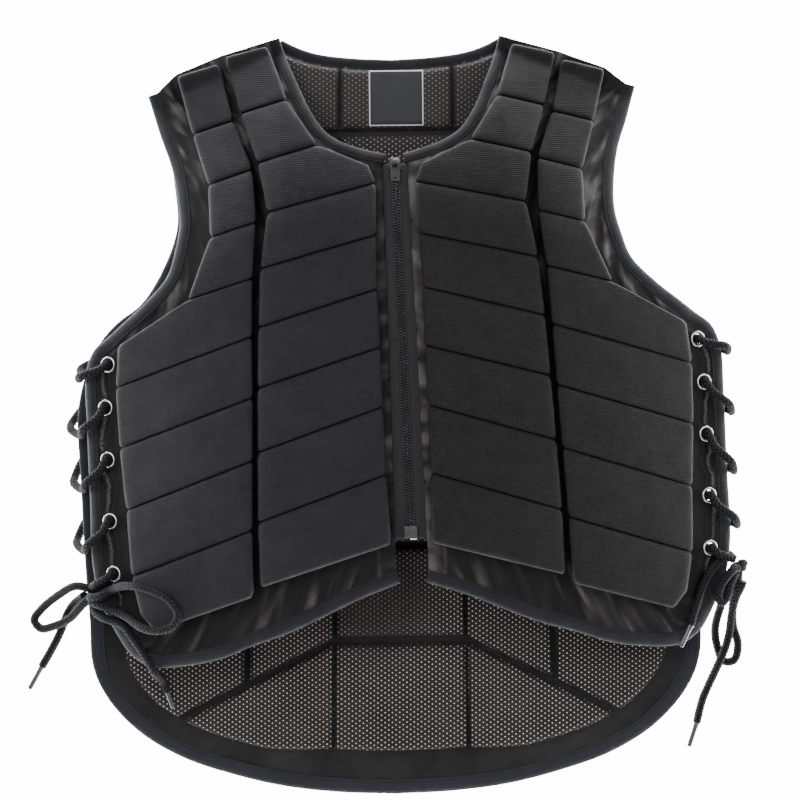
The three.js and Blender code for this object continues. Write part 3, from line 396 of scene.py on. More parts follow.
def closed_sheet(outline, step, top_at, bottom_at, extra=None, holes=()):
    """A closed body over an outline: points, triangles and a mark for the upper face."""
    outline = np.asarray(outline, float)
    low, high = outline.min(0), outline.max(0)
    xs = np.arange(low[0] + step / 2, high[0], step)
    ys = np.arange(low[1] + step / 2, high[1], step * 0.866)
    grid = np.array([(x + (step / 2 if j % 2 else 0), y) for j, y in enumerate(ys) for x in xs])
    if extra is not None:
        grid = np.vstack([grid, extra])
    keep = inside(grid, outline) & (distance_to(grid, outline) > 0.45 * step)
    loops = [outline]
    for centre, radius in holes:
        angles = np.linspace(0, 2 * math.pi, 20, endpoint=False)
        loops.append(np.array(centre) + radius * np.stack([np.cos(angles), np.sin(angles)], 1))
        keep &= np.linalg.norm(grid - centre, axis=1) > radius + 0.3 * step
    grid = grid[keep]
    vertices, edges, start = [], [], 0
    for loop in loops:
        vertices.append(loop)
        edges += [(start + i, start + (i + 1) % len(loop)) for i in range(len(loop))]
        start += len(loop)
    flat = np.vstack(vertices + [grid])
    made = geometry.delaunay_2d_cdt([Vector(p) for p in flat.tolist()], edges, [], 0, 1e-4)
    where = np.array([tuple(v) for v in made[0]])
    triangles = [tuple(f) for f in made[2]]
    middles = np.array([where[list(f)].mean(0) for f in triangles])
    within = inside(middles, outline)
    for centre, radius in holes:
        within &= np.linalg.norm(middles - centre, axis=1) > radius * 0.98
    keep_triangles = [f for f, ok in zip(triangles, within) if ok]
    count = len(where)
    x, y = where[:, 0], where[:, 1]
    points = np.vstack([np.column_stack([x, y, top_at(x, y)]), np.column_stack([x, y, bottom_at(x, y)])])
    faces, border = [], {}
    for a, b, c in keep_triangles:
        if np.cross(where[b] - where[a], where[c] - where[a]) < 0:
            b, c = c, b
        faces.append((a, b, c))
        faces.append((c + count, b + count, a + count))
        for edge in ((a, b), (b, c), (c, a)):
            border[edge] = border.get(edge, 0) + 1
    for a, b in border:
        if (b, a) not in border:
            faces.append((b, a, a + count, b + count))
    used = np.unique(np.array([i for f in faces for i in f]))
    remap = np.full(2 * count, -1)
    remap[used] = np.arange(len(used))
    faces = [tuple(int(remap[i]) for i in f) for f in faces]
    upper = (used < count).astype(float)
    return points[used], faces, upper


def inside(points, outline):
    x, y = points[:, 0], points[:, 1]
    result = np.zeros(len(points), bool)
    for (x0, y0), (x1, y1) in zip(outline, np.roll(outline, -1, axis=0)):
        crosses = (y0 > y) != (y1 > y)
        if y1 != y0:
            result ^= crosses & (x < (x1 - x0) * (y - y0) / (y1 - y0) + x0)
    return result


def distance_to(points, outline):
    """Distance from each point to a closed outline."""
    return along_line(points, np.vstack([outline, outline[:1]]))[0]


def along_line(points, line):
    """Distance to a polyline and the length along it to the nearest point."""
    best, at, start = np.full(len(points), 1e9), np.zeros(len(points)), 0.0
    for a, b in zip(line[:-1], line[1:]):
        d = b - a
        t = np.clip(((points - a) @ d) / max(1e-9, d @ d), 0, 1)
        far = np.linalg.norm(points - a - t[:, None] * d, axis=1)
        nearer = far < best
        best[nearer] = far[nearer]
        at[nearer] = start + t[nearer] * math.sqrt(d @ d)
        start += math.sqrt(d @ d)
    return best, at


def tube(name, points, material, radius=LACE / 2, step=1.1, sides=20, braid=0.24):
    """A braided cord along a smooth line through the points; gives the piece and its path."""
    path = catmull(points, step)
    tangent = np.gradient(path, axis=0)
    tangent /= np.linalg.norm(tangent, axis=1)[:, None]
    side = np.array([0.0, 0.0, 1.0])
    rings, uvs = [], []
    lengths = lengths_along(path)
    angles = np.arange(sides) / sides * 2 * math.pi
    for p, t, u in zip(path, tangent, lengths):
        side = side - t * (side @ t)
        side /= np.linalg.norm(side)
        other = np.cross(t, side)
        v = angles / (2 * math.pi) * 8
        zigzag = np.abs((v % 2) - 1)
        lift = braid * np.cos(2 * math.pi * (u / 3.6 + zigzag * 0.9)) - 0.5 * braid * np.cos(math.pi * v) ** 8
        r = radius - braid + lift
        rings.append(p + np.outer(np.cos(angles) * r, side) + np.outer(np.sin(angles) * r, other))
        uvs.append(np.column_stack([np.full(sides, u), v]))
    piece = new_mesh(name, np.vstack(rings), ring_faces(len(rings), sides), material, np.vstack(uvs))
    return piece, path


# Materials


def material(name):
    """A new material, short calls for its node tree, and its shader."""
    made = bpy.data.materials.new(name)
    made.use_nodes = True
    nodes = made.node_tree.nodes
    nodes.clear()
    out = nodes.new("ShaderNodeOutputMaterial")
    shader = nodes.new("ShaderNodeBsdfPrincipled")
    made.node_tree.links.new(shader.outputs[0], out.inputs[0])
    return made, Graph(made.node_tree), shader


def settle(shader, values):
    for name, value in values.items():
        shader.inputs[name].default_value = value


def srgb(text):
    values = [int(text[i:i + 2], 16) / 255 for i in (1, 3, 5)]
    return tuple(v / 12.92 if v < 0.04045 else ((v + 0.055) / 1.055) ** 2.4 for v in values) + (1,)


class Graph:
    """Short calls for a node tree."""

    def __init__(self, tree):
        self.tree = tree

    def node(self, kind, **settings):
        made = self.tree.nodes.new(kind)
        for key, value in settings.items():
            setattr(made, key, value)
        return made

    def link(self, source, target):
        self.tree.links.new(source, target)

    def put(self, socket, value):
        if hasattr(value, "is_output"):
            self.link(value, socket)
        else:
            socket.default_value = value

    def math(self, operation, a, b=None, c=None):
        made = self.node("ShaderNodeMath", operation=operation)
        for socket, value in zip(made.inputs, (a, b, c)):
            if value is not None:
                self.put(socket, value)
        return made.outputs[0]

    def mix(self, factor, a, b):
        made = self.node("ShaderNodeMix", data_type="RGBA")
        self.put(made.inputs[0], factor)
        self.put(made.inputs[6], a)
        self.put(made.inputs[7], b)
        return made.outputs[2]

    def ramp(self, value, low, high, to_low=0.0, to_high=1.0):
        made = self.node("ShaderNodeMapRange")
        self.put(made.inputs[0], value)
        for i, number in enumerate((low, high, to_low, to_high)):
            self.put(made.inputs[i + 1], number)
        return made.outputs[0]

    def noise(self, vector, scale, detail=2.0, roughness=0.5):
        made = self.node("ShaderNodeTexNoise")
        self.put(made.inputs["Vector"], vector)
        self.put(made.inputs["Scale"], scale)
        self.put(made.inputs["Detail"], detail)
        self.put(made.inputs["Roughness"], roughness)
        return made.outputs[0]

    def place(self):
        return self.node("ShaderNodeTexCoord").outputs["Object"]

    def uv(self):
        split = self.node("ShaderNodeSeparateXYZ")
        self.link(self.node("ShaderNodeUVMap", uv_map="UVMap").outputs[0], split.inputs[0])
        return split.outputs[0], split.outputs[1]

    def attribute(self, name):
        return self.node("ShaderNodeAttribute", attribute_name=name).outputs["Fac"]

    def bump(self, height, distance, strength=1.0, under=None):
        made = self.node("ShaderNodeBump")
        self.put(made.inputs["Height"], height)
        self.put(made.inputs["Distance"], distance)
        self.put(made.inputs["Strength"], strength)
        if under is not None:
            self.link(under, made.inputs["Normal"])
        return made.outputs[0]

    def times(self, a, b):
        return self.math("MULTIPLY", a, b)

    def plus(self, a, b):
        return self.math("ADD", a, b)

    def minus(self, a, b):
        return self.math("SUBTRACT", a, b)

    def scaled(self, value, by, offset):
        return self.math("MULTIPLY_ADD", value, by, offset)

    def wave(self, value, period):
        """A sine from 0 to 1 with that period."""
        return self.scaled(self.math("SINE", self.times(value, 2 * math.pi / period)), 0.5, 0.5)


def cloth(name, dark, light, rib, cross, sheen, rough, relief, tint=0.5, rim=0.0):
    """A woven cloth: ribs along U a rib apart, crossed by threads, on the piece's own UVs in mm."""
    made, g, shader = material(name)
    u, v = g.uv()
    place = g.place()
    wobble = g.times(g.minus(g.noise(place, 260, 2), 0.5), 0.9)
    ribs = g.wave(g.plus(v, wobble), rib)
    ribs = g.times(ribs, g.ramp(g.noise(place, 170, 2, 0.6), 0.3, 0.65, 0.25, 1.0))
    threads = g.wave(u, cross)
    weave = g.times(ribs, g.scaled(threads, 0.22, 0.78))
    patch = g.ramp(g.noise(place, 14, 4, 0.6), 0.3, 0.7)
    fine = g.noise(place, 900, 2, 0.7)
    amount = g.plus(g.times(patch, tint), g.times(weave, 1 - tint))
    amount = g.plus(g.times(amount, 0.8), g.times(fine, 0.2))
    colour = g.mix(amount, srgb(dark), srgb(light))
    if rim:
        # Painted highlight: a thin lighter rim where each block's edge rounds off (the edge attribute),
        # broken up by noise.
        edge = g.attribute("edge")
        lit = g.times(g.ramp(edge, 0.1, 0.22), g.ramp(edge, 0.35, 0.6, 1.0, 0.0))
        wear_and_rim_highlight = g.times(lit, g.ramp(g.noise(place, 80, 3), 0.35, 0.6))
        colour = g.mix(g.times(wear_and_rim_highlight, rim), colour, srgb("#4a4a4e"))
        mottle = g.ramp(g.noise(place, 520, 2, 0.75), 0.35, 0.68, 0.0, 0.24)
        colour = g.mix(mottle, colour, srgb("#37373a"))
        # Painted shade: the blocks darken towards the shoulders, from y 0.16 to 0.27 m, where the front turns
        # down.
        split = g.node("ShaderNodeSeparateXYZ")
        g.link(place, split.inputs[0])
        colour = g.mix(g.ramp(split.outputs[1], 0.16, 0.27, 0.0, 0.5), colour, srgb("#09080a"))
    g.link(colour, shader.inputs["Base Color"])
    g.link(g.ramp(g.noise(place, 60, 3), 0.3, 0.7, rough - 0.06, rough + 0.06), shader.inputs["Roughness"])
    settle(shader, {"Specular IOR Level": 0.22, "Sheen Weight": sheen, "Sheen Roughness": 0.45,
                    "Sheen Tint": (0.75, 0.72, 0.74, 1)})
    g.link(g.bump(g.plus(weave, g.times(fine, 0.35)), relief * MM), shader.inputs["Normal"])
    return made


# Painted shade: the blocks of both sides are one cloth, and the left side's copy is painted darker.
block_right = cloth("block_cloth_right", "#121214", "#2a292d", 1.7, 1.5, 0.0, 0.88, 0.2, tint=0.35, rim=0.14)
block_left = cloth("block_cloth_left", "#0e0d0e", "#232122", 1.7, 1.5, 0.0, 0.88, 0.2, tint=0.35, rim=0.14)
# One binding tape in three copies: neck_knit is painted darker as shade at the front's neck, tail_knit
# painted lighter as light on the back's tail.
binding_knit = cloth("binding_knit", "#131317", "#26262d", 0.8, 1.0, 0.02, 0.72, 0.16, tint=0.35)
neck_knit = cloth("neck_knit", "#0c0c0f", "#1a1a1f", 0.8, 1.0, 0.0, 0.76, 0.16, tint=0.35)
tail_knit = cloth("tail_knit", "#1b1b20", "#33333b", 0.8, 1.0, 0.04, 0.72, 0.16, tint=0.35)
tape_cloth = cloth("tape_cloth", "#222223", "#3a3a3c", 0.7, 1.1, 0.04, 0.7, 0.15, tint=0.2)


def satin():
    """The margin's cloth: tight, slightly glossy, with painted highlights: lighter on the tops of its puckers
    and beside the zip.
    """
    made, g, shader = material("margin_satin")
    place = g.place()
    crest_highlight = g.attribute("crest_highlight")
    grain = g.noise(place, 700, 3, 0.6)
    broad = g.ramp(g.noise(place, 35, 4, 0.6), 0.3, 0.7)
    # Painted highlight: the mask made with the cloth's points lightens it towards #5f5a5b.
    line = g.math("POWER", crest_highlight, 2.6)
    amount = g.times(line, g.scaled(broad, 0.6, 0.4))
    amount = g.times(amount, g.scaled(grain, 0.9, 0.5))
    colour = g.mix(amount, srgb("#0b0a0a"), srgb("#5f5a5b"))
    g.link(colour, shader.inputs["Base Color"])
    g.link(g.ramp(grain, 0.3, 0.7, 0.42, 0.6), shader.inputs["Roughness"])
    settle(shader, {"Sheen Weight": 0.01, "Specular IOR Level": 0.16})
    g.link(g.bump(grain, 0.1 * MM, 0.8), shader.inputs["Normal"])
    return made


def lining():
    """The back's cloth: air mesh with pale pinholes on the tiles, finer cloth in grooves and border."""
    made, g, shader = material("lining_mesh")
    split = g.node("ShaderNodeSeparateXYZ")
    place = g.place()
    g.link(place, split.inputs[0])
    pitch, row, slant = 6.15 * MM, 2.1 * MM, 0.028

    def dots(pitch_x, pitch_y, size):
        level = g.scaled(split.outputs[0], -slant, split.outputs[1])
        y = g.math("DIVIDE", level, pitch_y)
        line = g.math("FLOOR", y)
        odd = g.times(g.math("MODULO", g.math("ABSOLUTE", line), 2.0), 0.5)
        x = g.plus(g.math("DIVIDE", split.outputs[0], pitch_x), odd)
        dx = g.times(g.minus(g.math("FRACT", x), 0.5), pitch_x)
        dy = g.times(g.minus(g.math("FRACT", y), 0.5), pitch_y)
        far = g.math("SQRT", g.plus(g.times(dx, dx), g.times(dy, dy)))
        return g.ramp(far, size * 0.55, size, 1.0, 0.0)

    tile = g.attribute("tile")
    coarse = g.times(dots(pitch, row, 0.66 * MM), tile)
    fine = g.times(dots(2.1 * MM, 1.05 * MM, 0.42 * MM), g.minus(1.0, tile))
    broad = g.ramp(g.noise(place, 22, 4, 0.6), 0.3, 0.7)
    grain = g.noise(place, 800, 2, 0.6)
    glow = g.scaled(g.noise(place, 9, 3), 0.7, 0.6)
    glow = g.times(glow, g.ramp(split.outputs[1], 0.2, 0.25, 1.0, 0.3))
    # Painted shade: the dots dim to 0.3 near a point just below the front's hem, which shades the back there.
    hem_shade_distance = g.node("ShaderNodeVectorMath", operation="DISTANCE")
    g.link(place, hem_shade_distance.inputs[0])
    hem_shade_distance.inputs[1].default_value = (-0.012, -0.155, 0.02)
    glow = g.times(glow, g.ramp(hem_shade_distance.outputs["Value"], 0.03, 0.065, 0.3, 1.0))
    border = g.mix(broad, srgb("#0d0c0e"), srgb("#2a292b"))
    ground = g.mix(tile, border, g.mix(broad, srgb("#191615"), srgb("#2b2624")))
    ground = g.mix(g.times(grain, 0.25), ground, srgb("#3a3532"))
    ground = g.mix(g.ramp(split.outputs[1], 0.2, 0.25, 0.0, 0.4), ground, srgb("#3c3a3c"))
    colour = g.mix(g.times(coarse, glow), ground, srgb("#e2dcd6"))
    colour = g.mix(g.times(fine, 0.5), colour, srgb("#070707"))
    g.link(colour, shader.inputs["Base Color"])
    settle(shader, {"Roughness": 0.8, "Specular IOR Level": 0.2, "Sheen Weight": 0.03})
    height = g.minus(g.times(grain, 0.3), fine)
    g.link(g.bump(height, 0.3 * MM, 0.8), shader.inputs["Normal"])
    return made


def braid():
    made, g, shader = material("lace_braid")
    u, v = g.uv()
    zigzag = g.math("ABSOLUTE", g.minus(g.math("MODULO", v, 2.0), 1.0))
    strand = g.wave(g.scaled(zigzag, 3.24, u), 3.6)
    thread = g.wave(g.scaled(zigzag, -3.24, u), 0.6)
    fine = g.noise(g.place(), 1500, 2, 0.7)
    amount = g.plus(g.times(strand, 0.7), g.times(fine, 0.3))
    g.link(g.mix(amount, srgb("#020203"), srgb("#323236")), shader.inputs["Base Color"])
    settle(shader, {"Roughness": 0.78, "Specular IOR Level": 0.12})
    height = g.plus(strand, g.times(thread, 0.25))
    g.link(g.bump(height, 0.5 * MM), shader.inputs["Normal"])
    return made


def hard(name, colour, rough, metal=0.0, wear_and_rim_highlight="#000000", wear=0.0, coat=0.0, relief=0.02):
    """Moulded or plated pieces with fine scratches and a slightly uneven gloss."""
    made, g, shader = material(name)
    place = g.place()
    scratch = g.noise(place, 900, 3, 0.7)
    broad = g.noise(place, 120, 3, 0.6)
    rubbed = g.times(g.ramp(broad, 0.45, 0.75), wear)
    g.link(g.mix(rubbed, srgb(colour), srgb(wear_and_rim_highlight)), shader.inputs["Base Color"])
    g.link(g.ramp(scratch, 0.3, 0.7, rough * 0.8, rough * 1.25), shader.inputs["Roughness"])
    settle(shader, {"Metallic": metal, "Coat Weight": coat})
    g.link(g.bump(scratch, relief * MM, 0.5), shader.inputs["Normal"])
    return made


margin_satin = satin()
lining_mesh = lining()
lace_braid = braid()
eyelet_steel = hard("eyelet_steel", "#c9c9c6", 0.22, metal=1.0, wear_and_rim_highlight="#8d8a84", wear=0.5)
tooth_plastic = hard("tooth_plastic", "#333336", 0.3, wear_and_rim_highlight="#5c5c60", wear=0.6)
slider_enamel = hard("slider_enamel", "#0b0b0c", 0.44, wear_and_rim_highlight="#1c1c1e", wear=0.5)
pull_enamel = hard("pull_enamel", "#101012", 0.6, wear_and_rim_highlight="#1b1b1e", wear=0.5)
aglet_gloss = hard("aglet_gloss", "#333338", 0.2, wear_and_rim_highlight="#4c4c52", wear=0.5, coat=0.5)
shiny_pin = hard("shiny_pin", "#d8d8d4", 0.15, metal=1.0)
stitch_thread = cloth("stitch_thread", "#1b1b20", "#2b2b31", 0.5, 0.5, 0.02, 0.6, 0.05)
label_ground = cloth("label_cloth", "#333538", "#3c3e42", 0.5, 0.6, 0.05, 0.75, 0.06, tint=0.2)
label_edge = cloth("label_edge", "#d8d8d6", "#f0f0ee", 0.5, 0.6, 0.05, 0.75, 0.06, tint=0.2)

# Foam blocks

ROW_OFFSETS = [0, 0.35, 0.6, 0.9, 1.3, 1.9, 2.8, 4.4, 7.0]
ROW_DROPS = [5.5, 4.6, 2.9, 1.6, 0.95, 0.5, 0.22, 0.06, 0]
SIDE_OFFSETS = [0, 0.25, 0.8, 1.5, 2.4, 3.6, 5.5, 8.0]
SIDE_DROPS = [BLOCK_SIDE_DROP, 3.4, 1.7, 0.9, 0.4, 0.15, 0.03, 0]


def from_share(share):
    return np.array([share[0] * CHEST_HALF, NECK_TOP - share[1] * FRONT_LENGTH])


def spread_offsets(offsets, length, step):
    """Distances from 0 to length: close together at both ends, a step apart between."""
    near = [o for o in offsets if o < length / 2 - 0.5 * step]
    gap = length - 2 * near[-1]
    count = max(1, int(round(gap / step)))
    middle = [near[-1] + gap * k / count for k in range(1, count)]
    return np.array(near + middle + [length - o for o in near[::-1]])


def pad_column(word, which, rows, sign, seed, made_of):
    """One column of foam blocks under one cover: a station is a line across it."""
    ends = [(from_share(r[0]), from_share(r[1]), from_share(r[2]) if len(r) > 2 else None) for r in rows]
    mean_width = np.mean([np.linalg.norm(a - b) for a, b, _ in ends])
    share_line = spread_offsets(SIDE_OFFSETS, mean_width, BLOCK_STEP) / mean_width
    stations = []
    for i in range(len(ends) - 1):
        (near_a, far_a, bulge), (near_b, far_b, _) = ends[i], ends[i + 1]
        length = np.linalg.norm((near_b + far_b - near_a - far_a) / 2)
        for d in spread_offsets(ROW_OFFSETS, length, BLOCK_STEP):
            if i > 0 and d == 0:
                continue
            t = d / length
            near = lerp(near_a, near_b, t)
            if bulge is None:
                far = lerp(far_a, far_b, t)
            else:
                far = lerp(far_a, bulge, 2 * t) if t < 0.5 else lerp(bulge, far_b, 2 * t - 1)
            edge = min(d, length - d)
            first, last = i == 0 and t < 0.5, i == len(ends) - 2 and t >= 0.5
            stations.append((near, far, edge, t, i, first or last))
    points, uvs, shade = [], [], []
    for near, far, edge, t, block, outer_end in stations:
        width = np.linalg.norm(far - near)
        d_side = np.minimum(share_line, 1 - share_line) * width
        xy = near[None, :] + np.outer(share_line, far - near)
        pinch = CORNER_PINCH * max(0.0, 1 - edge / PINCH_REACH) ** 2
        from_sides = share_line * width / PINCH_FADE, (1 - share_line) * width / PINCH_FADE
        inwards = np.exp(-from_sides[0]) - np.exp(-from_sides[1])
        xy += pinch * inwards[:, None] * (far - near)[None, :] / width
        if outer_end:
            row_drop = np.interp(edge, SIDE_OFFSETS, SIDE_DROPS)
        else:
            row_drop = np.interp(edge, ROW_OFFSETS, ROW_DROPS)
        side_drop = np.interp(d_side, SIDE_OFFSETS, SIDE_DROPS)
        corner = 0.9 * np.exp(-((edge / 4.5) ** 2 + (d_side / 4.5) ** 2))
        drop = np.minimum(BLOCK_SIDE_DROP, np.sqrt(row_drop ** 2 + side_drop ** 2) + corner)
        s = (share_line - 0.5) * 2
        crown = BLOCK_CROWN * (1 - s ** 2) * (1 - (2 * t - 1) ** 2)
        tilt = (lattice(block, seed, 3) - 0.5) * 0.7
        lumps = 0.55 * fbm(xy[:, 0] / 34, xy[:, 1] / 34, seed) * np.clip(edge / 6, 0, 1)
        pull = 0.35 * noise(xy[:, 0] / 5.5, np.full(len(xy), block * 7.0), seed + 2)
        pull = pull * np.exp(-((edge - 3) / 4) ** 2)
        base = front_height(xy[:, 0], xy[:, 1])
        z = base + FOAM + crown + tilt * (1 - np.exp(-edge / 2)) + lumps + pull - drop
        z = np.maximum(z, base - 0.8)
        sway = 0.35 * noise(xy[:, 1] / 17, xy[:, 0] / 60, seed + 4)
        points.append(np.column_stack([xy[:, 0] + sway, xy[:, 1], z]))
        uvs.append(xy + (400 * seed, 0))
        # How far the cover drops here: the edge attribute, which masks the painted rim highlight.
        shade.append(np.clip(drop / 6, 0, 1))
    top = np.vstack(points)
    low = top.copy()
    low[:, 2] = front_height(low[:, 0], low[:, 1]) - 1.0
    faces = slab_faces(len(stations), len(share_line))
    if sign * (1 if which == "outer" else -1) < 0:
        faces = [f[::-1] for f in faces]
    piece = new_mesh(f"blocks_{word}_{which}", sided(lay_front, sign)(np.vstack([top, low])), faces, made_of,
                     np.vstack(uvs + uvs), {"edge": np.concatenate(shade + shade)})
    dress(piece, "block_cloth", f"front_{word}_{which}_pad")


for word, sign in SIDES:
    made_of = block_right if sign < 0 else block_left
    for which, rows, seed in (("inner", INNER_ROWS, 3), ("outer", OUTER_ROWS, 4)):
        pad_column(word, which, rows, sign, seed + (10 if sign > 0 else 0), made_of)

# Front margins


def front_sheet(word, sign):
    """The carrier's cloth, with puckers at the side, fans at the hem and creases at the armhole."""
    neck_in = inset(neck_line, -1, NECK_BINDING - SHEET_LAP)
    edge_in = inset(front_line, 1, FRONT_BINDING - SHEET_LAP)
    outline = np.vstack([neck_in[::-1], shoulder_points, edge_in])
    outline[:, 0] = np.maximum(CENTRE_EDGE, outline[:, 0])
    outline = resampled(np.vstack([outline, outline[:1]]), CLOTH_OUTLINE_STEP)[:-1]
    border = {}

    def wrinkles(x, y):
        flat = np.column_stack([x, y])
        far, at = along_line(flat, front_line[::2])
        far_neck, at_neck = along_line(flat, neck_line[::2])
        from_zip = x - CENTRE_EDGE
        seed = 20 + (7 if sign > 0 else 0)
        start = smooth((far - 9.6) / 3.5) * smooth((far_neck - 8.6) / 3)
        side = smooth((x - 0.9 * CHEST_HALF) / 12) * smooth((-160 - y) / -20) * smooth((70 - y) / 20)
        hem = smooth((-110 - y) / 30) * (1 - side)
        arm = smooth((y - 60) / 30)
        clear = np.ones(len(x))
        for eyelet in front_eyelets:
            clear *= smooth((np.hypot(x - eyelet[0], y - eyelet[1]) - 6.6) / 3)
        sway = 6.5 * noise(at / 12, at * 0, seed) + 1.6 * noise(at / 6, at * 0, seed + 1)
        ridges = 1.2 * ridge(far - 15.5 - sway, 1.2) + 0.5 * ridge(far - 20.5 - 1.2 * sway, 1.5)
        ridges += 0.6 * ridge(far - 11.6 + 0.8 * sway, 0.8)
        slanted = at - 0.9 * far
        fans = noise(slanted / 7.5, far / 40, seed + 2) * 1.6 + noise(slanted / 3.4, far / 18, seed + 3) * 0.9
        fans *= 0.35 + 1.5 * np.clip(noise(at / 33, at * 0, seed + 4) + 0.45, 0, 1)
        bend = at - 1.3 * far
        creases = noise(bend / 12, far / 9, seed + 5) * 1.9 + noise(bend / 5, far / 6, seed + 6) * 1.0
        near_zip = np.exp(-(np.maximum(0, from_zip - 3) / 11) ** 2)
        gathers = noise(y / 10, from_zip / 12 + y / 33, seed + 7) * 1.4
        gathers += noise(y / 3.7, from_zip / 7, seed + 8) * 0.5
        collar = noise(at_neck / 9, far_neck / 10, seed + 9)
        collar *= np.exp(-(np.maximum(0, far_neck - 12) / 9) ** 2)
        height = side * 2.1 * (ridges - 0.4) * clear + hem * fans + arm * 1.4 * creases
        height = start * (height * (1 - near_zip) + gathers * near_zip + collar)
        fold = 1.6 * np.exp(-from_zip / 0.9)
        stitch = 0.35 * np.exp(-((from_zip - 3.4) / 0.7) ** 2)
        # Painted highlight mask: lighter on the tops of the puckers, on a strip beside the zip (much stronger
        # on the left side) and on a thin line 17 mm from the zip.
        strip = near_zip * (0.54 if sign > 0 else 0.14) + 0.35 * np.exp(-((from_zip - 17) / 1.2) ** 2)
        border["crest_highlight"] = np.clip(0.3 + 0.62 * height + strip, 0, 1)
        return height - fold - stitch

    points, faces, upper = closed_sheet(
        outline, CLOTH_STEP,
        lambda x, y: front_height(x, y) + wrinkles(x, y) * 0.85 + 0.2,
        lambda x, y: front_height(x, y) - COVER,
        holes=[(spot, EYELET_HOLE - 0.2) for spot in front_eyelets])
    crest_highlight = np.zeros(len(points))
    mask = upper > 0
    wrinkles(points[mask, 0], points[mask, 1])
    crest_highlight[mask] = border["crest_highlight"]
    laid = sided(lay_front, sign)(points)
    if sign < 0:
        faces = [f[::-1] for f in faces]
    piece = new_mesh(f"front_cloth_{word}", laid, faces, margin_satin, points[:, :2], {"crest_highlight": crest_highlight})
    dress(piece, "margin_cloth", f"front_{word}_shell")


for word, sign in SIDES:
    front_sheet(word, sign)

# Bindings


def binding(name, line, inset_sign, width, middle_at, lay, node, mirrored, seed, made_of):
    """A band folded over an edge, stitched near its inner edge. width: one number, or one a point."""
    width = width + np.zeros(len(line))
    upper = [(0.0, 0.0), (0.02, 0.85), (0.09, 1.7), (0.22, 2.35), (0.42, 2.6), (0.6, 2.5), (0.74, 2.2),
             (0.79, 1.95), (0.84, 2.15), (0.93, 2.2), (0.985, 1.9), (1.0, 1.2)]
    section = upper + [(a, -b * 0.9) for a, b in upper[:0:-1]]
    directions = inset_directions(line, inset_sign)
    lengths = lengths_along(line)
    points, uvs = [], []
    for (x, y), d, u, wide in zip(line, directions, lengths, width):
        for k, (a, b) in enumerate(section):
            px, py = x + d[0] * a * wide, y + d[1] * a * wide
            crease = 0.35 * noise(np.array(u / 5.0), np.array(k * 0.12), seed) * min(1, abs(b))
            wave = 0.5 * noise(np.array(u / 31.0), np.array(0.0), seed + 3)
            level = float(middle_at(px, py))
            points.append((px, py, level + b + float(crease) * np.sign(b) + float(wave)))
            uvs.append((u, a * wide * (1 if k < len(upper) else -1)))
    faces = ring_faces(len(line), len(section))
    if mirrored != (inset_sign < 0):
        faces = [f[::-1] for f in faces]
    piece = new_mesh(name, lay(points), faces, made_of, uvs)
    dress(piece, "binding_knit", node)
    stitches(name + "_stitches", line, directions, width[:, None] * 0.79, middle_at, lay, 2.15)


def stitches(name, line, directions, inset_by, middle_at, lay, up, pitch=3.0, length=2.3, thick=0.2):
    """A row of small raised stitches along a line, joined in one piece."""
    path = line + directions * inset_by
    path = resampled(path, pitch)
    along = np.gradient(path, axis=0)
    along /= np.linalg.norm(along, axis=1)[:, None]
    shape = [(-0.5, 0.15), (-0.25, 0.9), (0.25, 0.9), (0.5, 0.15)]
    points, faces = [], []
    for (x, y), (tx, ty) in zip(path, along):
        start = len(points)
        for share, lift in shape:
            for side in (-1, 1):
                px = x + tx * share * length - ty * side * thick
                py = y + ty * share * length + tx * side * thick
                points.append((px, py, float(middle_at(px, py)) + up - 0.35 + lift * 0.5))
            points.append((x + tx * share * length, y + ty * share * length,
                           float(middle_at(x, y)) + up - 0.1 + lift * 0.55))
        for r in range(len(shape) - 1):
            a = start + 3 * r
            b = a + 3
            faces += [(a, a + 2, b + 2, b), (a + 2, a + 1, b + 1, b + 2), (a + 1, a, b, b + 1)]
        faces += [(start, start + 1, start + 2), (start + 9, start + 11, start + 10)]
    dress(new_mesh(name, lay(points), faces, stitch_thread, [p[:2] for p in points]), "binding_knit")


def front_middle(x, y):
    return front_height(x, y) - COVER / 2


def back_middle(x, y):
    return back_top(x) - COVER / 2


for word, sign in SIDES:
    lay = sided(lay_front, sign)
    hem_width = FRONT_BINDING + HEM_EXTRA * smooth((HEM_LEVEL - front_line[:, 1]) / HEM_BLEND)
    binding(f"edge_band_{word}", front_line, 1, hem_width, front_middle, lay,
            f"front_{word}_binding", sign > 0, 31 + sign, binding_knit)
    binding(f"neck_band_{word}", neck_line, -1, NECK_BINDING, front_middle, lay,
            f"neck_{word}_binding", sign > 0, 41 + sign, neck_knit)
binding("back_band", back_round, 1, BACK_BINDING, back_middle, lay_back,
        "back_binding", True, 51, tail_knit)
binding("back_neck_band", back_neck_full, 1, NECK_BINDING, back_middle, lay_back,
        "neck_back_binding", True, 61, binding_knit)

# Back panel


def tile_column(which, y):
    share = np.clip((NECK_TOP - y) / BACK_LENGTH, 0, 1)
    return lerp(TILE_TOP[which], TILE_TAIL[which], share)


def back_outline(neck_width, edge_width):
    neck = inset(back_neck_full, 1, neck_width)[len(back_neck) - 1:]
    half = np.vstack([neck, shoulder_points, inset(back_line, 1, edge_width)])
    half[-1][0] = 0
    return np.vstack([half, (half[1:-1] * (-1, 1))[::-1]])


def tile_border(x, y):
    arm = np.clip((y - BORDER_LEVEL) / BORDER_BLEND, 0, 1)
    low = np.clip((NECK_TOP - FRONT_LENGTH + BORDER_BLEND - y) / BORDER_BLEND, 0, 1)
    corner = low * np.clip((np.abs(x) - TILE_TAIL[0]) / BORDER_BLEND, 0, 1)
    return lerp(SIDE_BORDER, ARM_BORDER, arm) - (SIDE_BORDER - CORNER_BORDER) * corner


